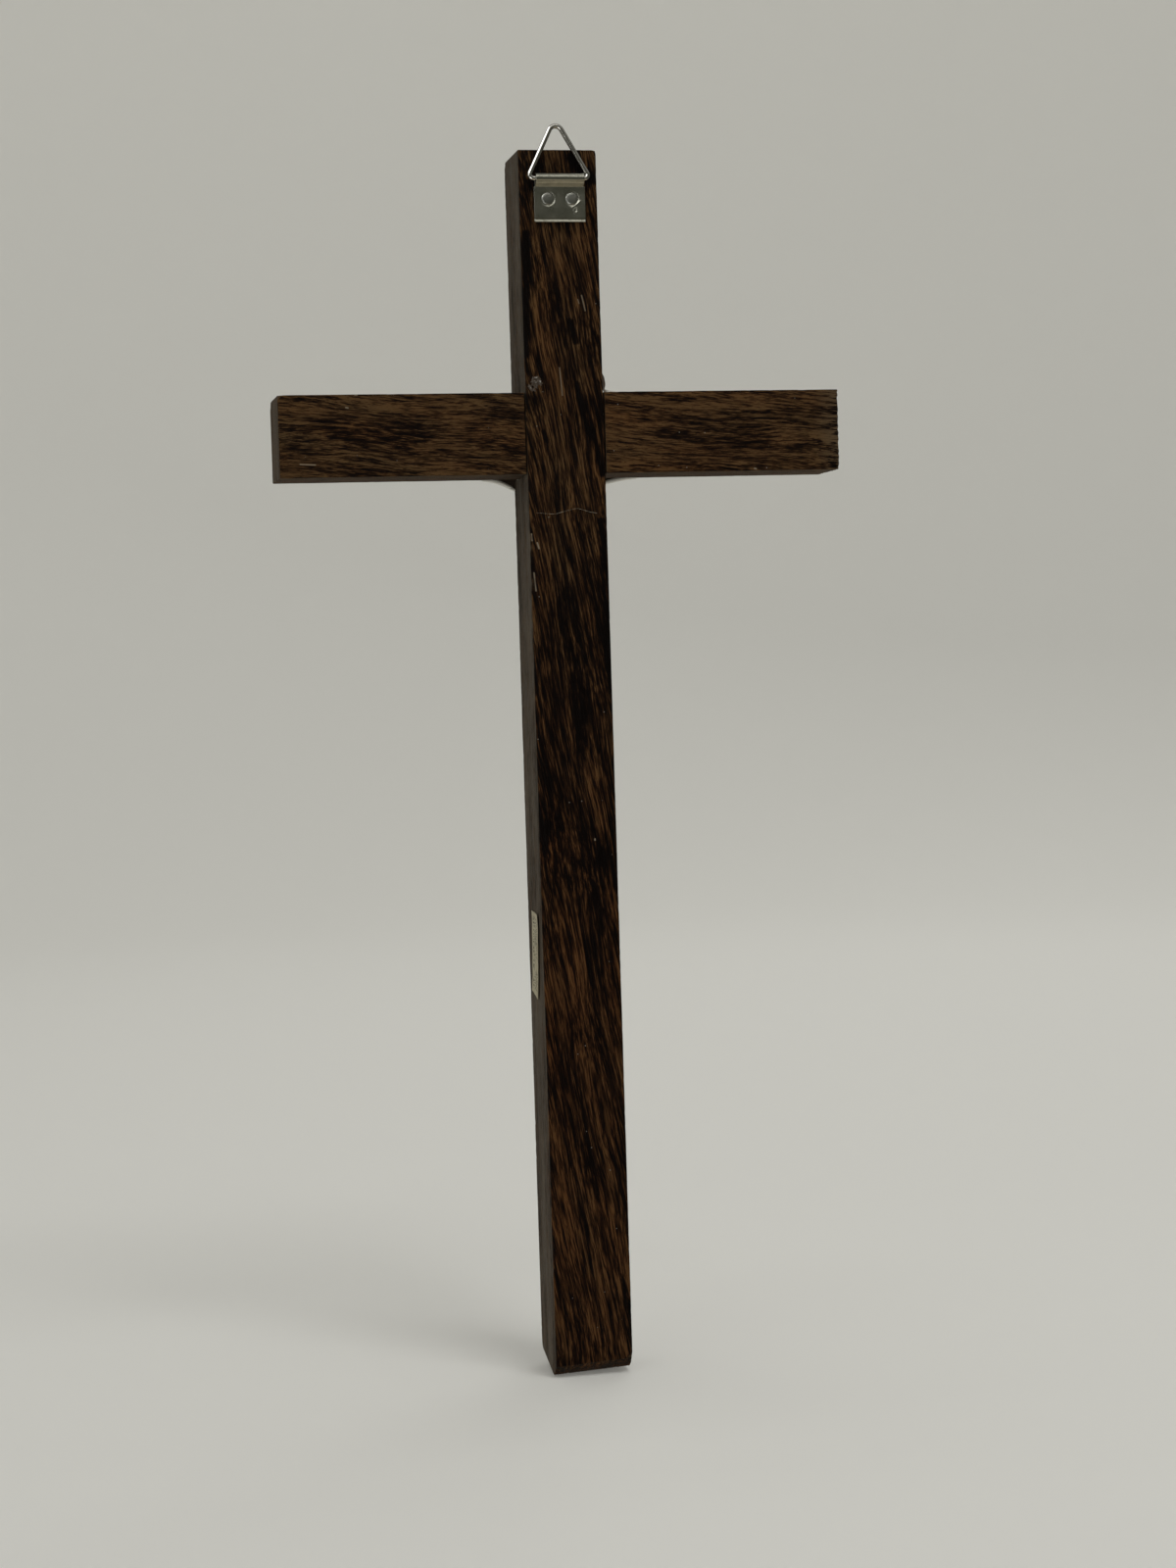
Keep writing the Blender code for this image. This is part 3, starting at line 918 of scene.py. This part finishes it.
def wire_path(hanger, half_bar):
    """The ring's middle line in (x, z), from the middle of its bar and all the way round."""
    low, top = hanger.corner_bend, hanger.crest_bend
    crest = Vector((hanger.crest_shift, hanger.ring_rise - top))
    corners = Vector((half_bar, low)), Vector((-half_bar, low))
    legs = []
    for corner, way in zip(corners, (1, -1)):
        run = crest - corner
        square = math.atan2(run.y, run.x * way) - math.acos((low - top) / run.length)
        legs.append(square if way > 0 else math.pi - square)
    bends = (
        (corners[0], low, -math.pi / 2, legs[0], 12),
        (crest, top, legs[0], legs[1], 28),
        (corners[1], low, legs[1], 1.5 * math.pi, 12),
    )
    path = [Vector((0.00002, 0.0))]
    for middle, radius, start, end, steps in bends:
        turns = [start + (end - start) * k / steps for k in range(steps + 1)]
        arc = [middle + radius * Vector((math.cos(a), math.sin(a))) for a in turns]
        path += [path[-1].lerp(arc[0], k / 24) for k in range(1, 24)] + arc
    path += [path[-1].lerp(Vector((-0.00002, 0.0)), k / 24) for k in range(1, 25)]
    return path


def turned_mesh(name, profile, place, tilt, sides=40):
    """A solid turned about y from (radius, y) pairs, both ends on the axis."""
    points = []
    for radius, y in profile:
        for k in range(sides):
            a = math.tau * k / sides
            wobble = 1 + 0.012 * math.sin(3 * a + 0.7) + 0.01 * math.sin(5 * a)
            spot = Vector((radius * wobble * math.cos(a), y, radius * wobble * math.sin(a)))
            spot.rotate(Euler(tilt))
            points.append(place + spot)
    return closed_mesh(name, points, grid_faces(len(profile), sides, closed=True), 50.0)


def on_back(*rows):
    """Lines on the back face, from rows of x, z, end x, end z and half width in mm, and amount."""
    return [
        ((x * MM, BACK, z * MM), (end_x * MM, BACK, end_z * MM), width * MM, amount)
        for x, z, end_x, end_z, width, amount in rows
    ]


class CROSS_OT_upright(bpy.types.Operator):
    """Build the worn upright"""

    bl_idname = "wall_cross.upright"
    bl_label = "Upright"

    def execute(self, context):
        wood = context.scene.wall_cross.wood
        low, high = UPRIGHT
        lap = (BEAM[0].z - JOINT_GAP, BEAM[1].z + JOINT_GAP, LAP + JOINT_GAP, True)
        chips = [
            (Vector((low.x, BACK, high.z)), 0.0012, 0.0003),
            (Vector((high.x, BACK, -0.1018)), 0.0012, 0.00035),
            (Vector((high.x, BACK, -0.1040)), 0.0016, 0.00030),
            (Vector((high.x, BACK, -0.1130)), 0.0020, 0.00022),
            (Vector((low.x, BACK, low.z)), 0.0022, 0.00060),
            (Vector((high.x, FRONT, high.z)), 0.0018, 0.00035),
            (Vector((high.x, FRONT, low.z)), 0.0014, 0.00025),
        ]
        mesh = worn_bar(
            "upright_wood", low, high, 2, wood, lap, chips,
            lift=lambda point: foot_lift(point, low, high, wood),
        )
        marks = on_back(
            (1.0, -59.4, 0.5, -66.3, 0.20, 0.62),
            (9.5, -100.8, 9.4, -102.4, 0.30, 0.9),
            (8.1, -103.0, 7.7, -104.4, 0.30, 0.9),
            (9.2, -110.5, 8.8, -115.0, 0.28, 0.7),
            (-4.3, -177.9, -4.3, -178.2, 0.26, 1.0),
            (2.8, -311.3, -8.6, -310.8, 0.26, 0.55),
            (-5.2, -41.4, -6.0, -45.2, 0.24, 0.6),
            (-4.2, -42.4, -4.5, -43.4, 0.20, 0.5),
        )
        stains = on_back(
            (-3.6, -64.0, -6.5, -75.3, 1.5, 0.38),
            (-6.5, -75.3, -8.8, -86.0, 1.5, 0.38),
            (-4.0, -7.0, -8.5, -12.5, 1.9, 0.40),
            (-2.2, -48.0, -3.4, -53.0, 1.2, 0.40),
            (8.6, -26.0, 9.2, -56.0, 1.4, 0.40),
            (-8.5, -98.0, -9.3, -135.0, 1.4, 0.35),
            (0.0, -118.0, 0.0, -200.0, 16.0, 0.09),
        )
        turn = (math.radians(2), -wood.upright_lean, 0.0)
        finish = wood_finish(
            "upright_streaked_wood", wood, turn, (0.31, 0.0, 0.0), (1.15, 1.25), -0.042,
            marks, stains, redder=(-0.10, -0.20),
        )
        add_piece("upright_wood", mesh, finish, "cross", ["upright"])
        return {"FINISHED"}


class CROSS_OT_crossbeam(bpy.types.Operator):
    """Build the worn crossbeam, with its rough sawn end"""

    bl_idname = "wall_cross.crossbeam"
    bl_label = "Crossbeam"

    def execute(self, context):
        wood = context.scene.wall_cross.wood
        low, high = BEAM
        lap = (UPRIGHT[0].x - JOINT_GAP, UPRIGHT[1].x + JOINT_GAP, LAP, False)
        chips = [
            (Vector((high.x, FRONT, high.z)), 0.0022, 0.0007),
            (Vector((high.x, BACK, high.z)), 0.0014, 0.00045),
            (Vector((low.x, BACK, low.z)), 0.0014, 0.00040),
        ]

        def rough_end(point):
            reach, depth = 0.0014, 0.00030
            near = bell(point.x - low.x, reach)
            torn = waves(point.x / 0.003, point.y / 0.0007, point.z / 0.0006)
            return near * depth * max(0.0, 0.25 + torn)

        mesh = worn_bar("crossbeam_wood", low, high, 0, wood, lap, chips, rough_end)
        marks = on_back(
            (66.9, -82.5, 63.1, -82.7, 0.19, 1.0),
            (55.1, -68.7, 54.6, -68.8, 0.28, 0.8),
            (52.8, -65.6, 52.2, -65.6, 0.30, 0.8),
            (-48.8, -85.3, -49.2, -85.4, 0.30, 0.8),
        )
        stains = on_back(
            (38.0, -77.0, 58.0, -74.5, 5.0, 0.12),
            (71.5, -72.0, 54.0, -73.2, 0.6, -0.24),
            (54.0, -73.2, 36.3, -76.8, 0.6, -0.24),
            (60.0, -81.2, 40.0, -85.0, 0.5, -0.20),
            (-25.0, -76.0, -52.0, -80.0, 2.6, 0.14),
        )
        turn = (math.radians(2), wood.beam_lean - math.radians(90), 0.0)
        finish = wood_finish(
            "crossbeam_streaked_wood", wood, turn, (0.0, 0.0, 0.77), (0.75, 0.60), 0.05,
            marks, stains, sawn=("X", low.x, 0.0075), sweep=0.30,
        )
        add_piece("crossbeam_wood", mesh, finish, "cross", ["crossbeam"])
        return {"FINISHED"}


class CROSS_OT_hanger_strap(bpy.types.Operator):
    """Build the strap folded round the ring's bar"""

    bl_idname = "wall_cross.hanger_strap"
    bl_label = "Hanger strap"

    def execute(self, context):
        hanger = context.scene.wall_cross.hanger
        nails = [(low + high) / 2 - BAR_AXIS for low, high in NAILS.values()]
        mesh = strap_mesh(hanger, nails)
        finish = steel_finish("strap_plated_steel", hanger.strap_colour, 0.30)
        strap = add_piece(
            "hanger_strap", mesh, finish, "cross", ["hanger_plate"]
        )
        thicken(strap, hanger.sheet * 0.90, even=True)
        edge = strap.modifiers.new("Sheared edge", "BEVEL")
        edge.width = hanger.sheet * 0.18
        edge.segments = 2
        edge.limit_method = "ANGLE"
        edge.angle_limit = math.radians(55)
        return {"FINISHED"}


class CROSS_OT_nails(bpy.types.Operator):
    """Build the two domed nails"""

    bl_idname = "wall_cross.nails"
    bl_label = "Nails"

    def execute(self, context):
        hanger = context.scene.wall_cross.hanger
        finish = steel_finish("nail_bare_steel", hanger.nail_colour, 0.40, tarnish=0.5)
        face = BAR_AXIS.y - hanger.fold_radius + hanger.sheet
        radius, rise = hanger.head_radius, hanger.head_height
        shank = 0.00065
        crown = (
            (0.0, 1.0), (0.22, 0.99), (0.45, 0.93), (0.66, 0.80), (0.82, 0.60), (0.93, 0.33),
            (0.985, 0.05), (1.0, -0.25), (0.95, -0.42),
        )
        profile = [(radius * r, rise * y) for r, y in crown]
        profile += [(shank + 0.00001, rise * -0.45), (shank, rise * -0.6)]
        profile += [(shank, -0.0076), (0.0, -0.0088)]
        tilts = {"nail_left": (0.05, 0.0, 0.02), "nail_right": (0.03, 0.0, -0.06)}
        depth = face - hanger.dimple + rise * 0.42
        for name, (low, high) in NAILS.items():
            place = Vector(((low.x + high.x) / 2, depth, (low.z + high.z) / 2))
            mesh = turned_mesh(name + "_head", profile, place, tilts[name])
            add_piece(name + "_head", mesh, finish, "cross", [name])
        return {"FINISHED"}


class CROSS_OT_hanger_ring(bpy.types.Operator):
    """Bend the wire ring that swings in the fold"""

    bl_idname = "wall_cross.hanger_ring"
    bl_label = "Hanger ring"

    def execute(self, context):
        hanger = context.scene.wall_cross.hanger
        low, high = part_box("hanger_ring")
        half_bar = (high.x - low.x) / 2 - hanger.corner_bend - hanger.wire_radius
        middle = (high.x + low.x) / 2
        lean = math.atan2(BAR_AXIS.y, -BAR_AXIS.z)
        c, s = math.cos(lean), math.sin(lean)
        path = [
            Vector((middle + x, BAR_AXIS.y - s * z, BAR_AXIS.z + c * z))
            for x, z in wire_path(hanger, half_bar)
        ]
        points, faces = tube(path, [hanger.wire_radius] * len(path), 24)
        mesh = closed_mesh("ring_wire", points, faces)
        finish = steel_finish(
            "ring_drawn_wire", hanger.wire_colour, 0.15, (0.0006, 0.0006, 0.003), 0.12, 0.2
        )
        add_piece("ring_wire", mesh, finish, "ring", ["hanger_ring"])
        return {"FINISHED"}


class CROSS_OT_paper_label(bpy.types.Operator):
    """Lay the paper label on the side of the upright"""

    bl_idname = "wall_cross.paper_label"
    bl_label = "Paper label"

    def execute(self, context):
        label = context.scene.wall_cross.label
        rows, columns = 72, 32
        points = []
        for i in range(rows + 1):
            v = i / rows - 0.5
            for j in range(columns + 1):
                u = j / columns - 0.5
                near = max(0.0, u + 0.1) / 0.6
                ends = max(0.0, abs(v) - 0.30) / 0.2
                lift = label.lift * (0.10 + 0.75 * near ** 1.6 + 0.25 * ends ** 2)
                lift += 0.00006 * waves(u * 3, v * 9, 1.5)
                edge = 0.00016 * waves(v * 14, round(u * 2), 3.1)
                end = 0.00020 * waves(u * 5, round(v * 2), 8.2)
                bow = 0.00035 * math.cos(v * math.pi)
                skew = 0.0006 * u * (1 if v > 0 else -0.6) * abs(v) * 2
                y = u * label.width + edge * 2 * u + bow
                z = v * label.height + end * 2 * v + skew
                points.append(Vector((lift, y, z)))
        mesh = sheet_mesh("label_paper", points, rows + 1, columns + 1)
        middle = (LABEL[0] + LABEL[1]) / 2
        turn = Matrix.Rotation(-label.tilt, 4, "X")
        place = Matrix.Translation((UPRIGHT[1].x + label.paper / 2, middle.y, middle.z)) @ turn
        finish = paper_finish(label)
        paper = add_piece(
            "label_paper", mesh, finish, "cross", ["paper_label"], place
        )
        thicken(paper, label.paper)
        return {"FINISHED"}


class CROSS_OT_glue(bpy.types.Operator):
    """Build the dried glue at the joint"""

    bl_idname = "wall_cross.glue"
    bl_label = "Dried glue"

    def execute(self, context):
        glue = context.scene.wall_cross.glue
        finish = glue_finish(glue)
        self.fillet("glue_fillet_left", glue, finish, UPRIGHT[1].x, 1.0, 0.0085, 0.0028, 2.2)
        self.fillet("glue_fillet_right", glue, finish, UPRIGHT[0].x, -1.0, 0.0120, 0.0025, 2.0)
        self.lump(glue, finish)
        self.bead(glue, finish)
        return {"FINISHED"}

    def fillet(self, name, glue, finish, side, way, reach, drop, curve):
        """A thin web in the corner under an arm, coloured dark as painted shade, with a pale bead
        along its curved edge whose paleness is a painted highlight.
        """
        steps = 36
        under = BEAM[0].z + 0.00005
        front, back = FRONT + 0.0001, FRONT + 0.0006
        arc = [
            (side + way * reach * (1 - k / steps), under - drop * (k / steps) ** curve)
            for k in range(steps + 1)
        ]
        shade_web = []
        for x, z in (*arc, (side - way * 0.0007, under - drop)):
            for y in (front, back):
                shade_web += [Vector((x, y, z)), Vector((x, y, under + 0.0003))]
        faces = []
        last = 4 * steps + 4
        for a in range(0, last, 4):
            b = a + 4
            faces += [
                (a, b, b + 1, a + 1),
                (a + 2, a + 3, b + 3, b + 2),
                (a, a + 2, b + 2, b),
                (a + 1, b + 1, b + 3, a + 3),
            ]
        faces += [(0, 1, 3, 2), (last, last + 2, last + 3, last + 1)]
        radii = [
            glue.rim * (0.45 + 0.55 * math.sin(math.pi * min(1.0, 0.08 + k / steps * 0.75)))
            * (1 + 0.25 * waves(k * 0.31, side * 999, 0.0))
            for k in range(steps + 1)
        ]
        rim = tube([Vector((x, back + 0.0002, z)) for x, z in arc], radii)
        points, faces = join(((shade_web, faces), rim))
        # Low heights give the web the dark stained colour, painted shade; the rim's full height
        # makes it pale, a painted highlight.
        heights = [0.38, 0.20] * (len(shade_web) // 2) + [1.0] * len(rim[0])
        mesh = closed_mesh(name, points, faces, values=("height", heights))
        add_piece(name, mesh, finish, "cross")

    def lump(self, glue, finish):
        """A small crust of glue on the back, beside the joint, in short crests."""
        ridges = (
            (8.5, -64.4, 60, 0.80, 0.34, 0.80),
            (7.9, -62.7, 80, 0.55, 0.26, 0.62),
            (7.0, -61.8, -15, 0.60, 0.30, 0.95),
            (6.1, -62.9, 75, 0.75, 0.34, 1.0),
            (6.9, -63.4, 20, 0.40, 0.26, 0.70),
            (7.6, -64.9, 35, 0.50, 0.24, 0.55),
        )
        middle = Vector((7.1 * MM, 0, -63.1 * MM))
        cells = 64
        size = 5.6 * MM
        sunk = 0.00012
        points, heights = [], []
        for i in range(cells + 1):
            for j in range(cells + 1):
                off = Vector((size * (i / cells - 0.5), 0, size * (j / cells - 0.5)))
                spot = middle + off
                lobe = 1.25 + 0.9 * noise.noise(off / 0.0016 + Vector((3, 1, 6)))
                lobe = off.length * lobe / 0.0024
                crest = 1 - 5.0 * abs(noise.noise(spot / 0.00085 + Vector((2, 9, 4))))
                height = max(0.0, 1 - lobe * lobe) * (0.25 + 0.55 * max(0.0, crest))
                for x, z, lean, long, wide, tall in ridges:
                    c, s = math.cos(math.radians(lean)), math.sin(math.radians(lean))
                    a, b = spot.x / MM - x, spot.z / MM - z
                    gap = math.hypot((a * c + b * s) / long, (b * c - a * s) / wide)
                    height = max(height, tall * bell(gap, 1.0))
                height *= 1 + 0.3 * noise.noise(spot / 0.0004)
                heights.append(min(0.74, height * 0.78))
                y = BACK - sunk + (glue.thickness + sunk) * height
                points.append(Vector((spot.x, y, spot.z)))
        mesh = sheet_mesh("glue_lump", points, cells + 1, cells + 1, heights)
        lump = add_piece("glue_lump", mesh, finish, "cross")
        thicken(lump, 0.0003, offset=-1.0)

    def bead(self, glue, finish):
        """Glue squeezed out at the edge above the arm."""
        side, top = UPRIGHT[0].x, BEAM[1].z
        corners = [
            Vector((side + x * MM, BACK - sunk * MM, top + z * MM))
            for x, sunk, z in (
                (0.1, 0.6, 4.6), (-0.1, 0.6, 3.0), (-0.2, 0.6, 1.4), (-0.4, 0.5, 0.3),
                (-1.6, 0.5, 0.0), (-3.6, 0.5, -0.1), (-6.0, 0.5, -0.2),
            )
        ]
        path = smooth_path(corners, 10)
        radii = []
        for k, spot in enumerate(path):
            t = k / (len(path) - 1)
            swell = 0.00052 * bell(t - 0.22, 0.16) + 0.00030 * bell(t - 0.62, 0.22)
            radii.append(0.00006 + swell * (1 + 0.35 * noise.noise(spot / 0.0009)))
        sides = 16
        points, faces = tube(path, radii, sides)
        heights = [0.25 + 0.75 * (k // sides) / len(path) for k in range(len(points))]
        mesh = closed_mesh("glue_bead", points, faces, values=("height", heights))
        add_piece("glue_bead", mesh, finish, "cross")


class CROSS_OT_fibres(bpy.types.Operator):
    """Add the hair and the torn wood fibres"""

    bl_idname = "wall_cross.fibres"
    bl_label = "Hair and fibres"

    def execute(self, context):
        glue = context.scene.wall_cross.glue
        hair = fibre_finish("pale_hair", (0.46, 0.41, 0.32), (0.10, 0.08, 0.05))
        self.hair(glue, hair)
        self.splinters(fibre_finish("torn_wood_fibre", (0.34, 0.27, 0.18), (0.12, 0.08, 0.045)))
        return {"FINISHED"}

    def hair(self, glue, finish):
        spots = [
            (8.1, 0.02, -95.5), (7.0, 0.05, -95.62), (3.5, 0.10, -95.88), (1.2, 0.16, -95.36),
            (-2.0, 0.22, -94.66), (-3.5, 0.18, -94.89), (-5.4, 0.10, -95.49), (-7.4, 0.03, -95.89),
        ]
        path = smooth_path([Vector((x * MM, BACK + y * MM, z * MM)) for x, y, z in spots], 10)
        points, faces = tube(path, [glue.hair] * len(path), 8)
        mesh = closed_mesh("stuck_hair", points, faces)
        add_piece("stuck_hair", mesh, finish, "cross")

    def splinters(self, finish):
        """Short torn fibres along the top edge of the arm, beside the joint."""
        draw = random.Random(11)
        shape = ((0, 0.00007), (0.3, 0.00007), (0.6, 0.00005), (0.85, 0.00004), (1, 0.00002))
        fibres = []
        for _ in range(16):
            x = -draw.uniform(0.0108, 0.0185)
            start = Vector((x, BACK - draw.uniform(0.0002, 0.0010), BEAM[1].z - 0.0002))
            run = Vector(
                (draw.uniform(-0.9, 0.5), draw.uniform(-0.1, 0.3), draw.uniform(0.25, 0.6))
            )
            size = draw.uniform(0.0005, 0.0011)
            path = [start + run * size * t + Vector((0, 0, -0.3 * size * t * t)) for t, _ in shape]
            fibres.append(tube(path, [radius for _, radius in shape], 6))
        mesh = closed_mesh("torn_fibres", *join(fibres))
        add_piece("torn_fibres", mesh, finish, "cross")


class CROSS_OT_stage(bpy.types.Operator):
    """Set the pale floor, the soft lights and the camera"""

    bl_idname = "wall_cross.stage"
    bl_label = "Stage"

    def execute(self, context):
        stage = context.scene.wall_cross.stage
        self.floor(stage)
        self.lights(stage)
        self.world(context.scene, stage)
        self.camera(context.scene, stage)
        return {"FINISHED"}

    def floor(self, stage):
        """A round floor that sweeps up into a backdrop all round."""
        flat, sweep, top, steps, sides = 1.3, 0.9, 2.6, 16, 96
        profile = [(0.0, 0.0), (0.35, 0.0), (0.8, 0.0), (flat, 0.0)]
        for k in range(1, steps + 1):
            a = math.radians(90 * k / steps)
            profile.append((flat + sweep * math.sin(a), sweep * (1 - math.cos(a))))
        profile += [(flat + sweep, 1.4), (flat + sweep, top)]
        points = []
        for r, z in profile:
            for k in range(sides):
                a = math.tau * k / sides
                points.append((r * math.cos(a), r * math.sin(a), FLOOR + z))
        mesh = bpy.data.meshes.new("floor")
        mesh.from_pydata(points, [], grid_faces(len(profile), sides, closed=True))
        bm = bmesh.new()
        bm.from_mesh(mesh)
        bmesh.ops.remove_doubles(bm, verts=bm.verts, dist=1e-6)
        for face in bm.faces:
            face.smooth = True
        bm.to_mesh(mesh)
        bm.free()
        mesh.materials.append(stage_finish(stage.floor_colour, stage.tent_glow))
        floor = bpy.data.objects.new("floor", mesh)
        bpy.context.scene.collection.objects.link(floor)
        floor.visible_glossy = False

    def lights(self, stage):
        middle, wall = (0.0, 0.0, -0.15), (0.0, -2.1, 0.6)
        for name, energy, size, place, aim in (
            ("key_light", stage.key_power, 0.55, (-0.35, 0.75, 1.05), middle),
            ("top_light", stage.top_power, 1.20, (0.0, 0.10, 1.60), middle),
            ("wall_light", stage.wall_power, 1.00, (0.0, -0.7, 1.50), wall),
            ("fill_light", stage.fill_power, 0.90, (-0.70, -1.10, 0.70), middle),
        ):
            data = bpy.data.lights.new(name, "AREA")
            data.energy = energy
            data.size = size
            light = bpy.data.objects.new(name, data)
            bpy.context.scene.collection.objects.link(light)
            light.location = place
            way = Vector(aim) - Vector(place)
            light.rotation_euler = way.to_track_quat("-Z", "Y").to_euler()
            light.visible_camera = False
            light.visible_glossy = False

    def world(self, scene, stage):
        world = bpy.data.worlds.new("soft_room")
        scene.world = world
        world.use_nodes = True
        room = Shading(world.node_tree)
        ray = room.node("ShaderNodeTexCoord", output="Generated")
        across, toward, up = (room.along(ray, axis) for axis in "XYZ")
        behind = room.rise(toward, -0.30, -0.80)
        above = room.rise(up, 0.25, 0.95)
        below = room.rise(up, -0.50, -0.85)
        light = room.mix(behind, stage.room_colour, stage.card_colour)
        light = room.mix(above, light, stage.ceiling_colour)
        light = room.mix(below, light, stage.ground_colour)
        high = room.rise(up, 0.54, 0.63) * room.rise(up, 0.87, 0.80)
        panel = high * room.rise(abs(across - 0.06), 0.42, 0.32) * room.rise(toward, 0.10, 0.35)
        light = room.mix(panel, light, tuple(stage.panel * c for c in (1.0, 0.97, 0.90)))
        slant = room.measure("DOT_PRODUCT", ray, (-0.44, -0.08, 0.89))
        band = room.rise(abs(slant - 0.32), 0.26, 0.16)
        window = band * room.rise(across, 0.22, 0.40) * room.rise(toward, -0.30, -0.10)
        low_lamp = room.measure("DOT_PRODUCT", ray, (0.50, 0.70, -0.50))
        side_lamp = room.measure("DOT_PRODUCT", ray, (0.87, 0.39, 0.29))
        window = window.larger(room.rise(low_lamp, 0.92, 0.96) * 0.5)
        window = window.larger(room.rise(side_lamp, 0.89, 0.94) * 0.4)
        light = room.mix(window, light, tuple(stage.window * c for c in (1.0, 1.0, 0.97)))
        sky = world.node_tree.nodes["Background"]
        room.feed(sky.inputs["Color"], light)
        sky.inputs["Strength"].default_value = stage.world_strength
        world.cycles_visibility.diffuse = False

    def camera(self, scene, stage):
        data = bpy.data.cameras.new("camera")
        data.lens = stage.lens
        data.sensor_width = 36.0
        data.clip_start = 0.01
        data.clip_end = 20.0
        camera = bpy.data.objects.new("camera", data)
        scene.collection.objects.link(camera)
        camera.location = stage.camera_place
        camera.rotation_euler = stage.camera_turn
        scene.camera = camera
        scene.view_settings.view_transform = "Standard"


class CROSS_PT_panel(bpy.types.Panel):
    """Lists the pieces of the cross"""

    bl_idname = "CROSS_PT_panel"
    bl_label = "Wall cross"
    bl_space_type = "VIEW_3D"
    bl_region_type = "UI"
    bl_category = "Cross"

    def draw(self, context):
        settings = context.scene.wall_cross
        for group in ("wood", "hanger", "label", "glue", "stage"):
            box = self.layout.box()
            values = getattr(settings, group)
            for name in values.__annotations__:
                box.prop(values, name)
        for operator in OPERATORS:
            self.layout.operator(operator.bl_idname)


OPERATORS = (
    CROSS_OT_stage,
    CROSS_OT_upright,
    CROSS_OT_crossbeam,
    CROSS_OT_hanger_strap,
    CROSS_OT_nails,
    CROSS_OT_hanger_ring,
    CROSS_OT_paper_label,
    CROSS_OT_glue,
    CROSS_OT_fibres,
)
GROUPS = (
    WoodSettings,
    HangerSettings,
    LabelSettings,
    GlueSettings,
    StageSettings,
    CrossSettings,
)


def register():
    for made in (*GROUPS, *OPERATORS, CROSS_PT_panel):
        bpy.utils.register_class(made)
    bpy.types.Scene.wall_cross = bpy.props.PointerProperty(type=CrossSettings)


def unregister():
    del bpy.types.Scene.wall_cross
    for made in reversed((*GROUPS, *OPERATORS, CROSS_PT_panel)):
        bpy.utils.unregister_class(made)


def main():
    register()
    bpy.ops.wall_cross.stage()
    bpy.ops.wall_cross.upright()
    bpy.ops.wall_cross.crossbeam()
    bpy.ops.wall_cross.hanger_strap()
    bpy.ops.wall_cross.nails()
    bpy.ops.wall_cross.hanger_ring()
    bpy.ops.wall_cross.paper_label()
    bpy.ops.wall_cross.glue()
    bpy.ops.wall_cross.fibres()


if __name__ == "__main__":
    main()
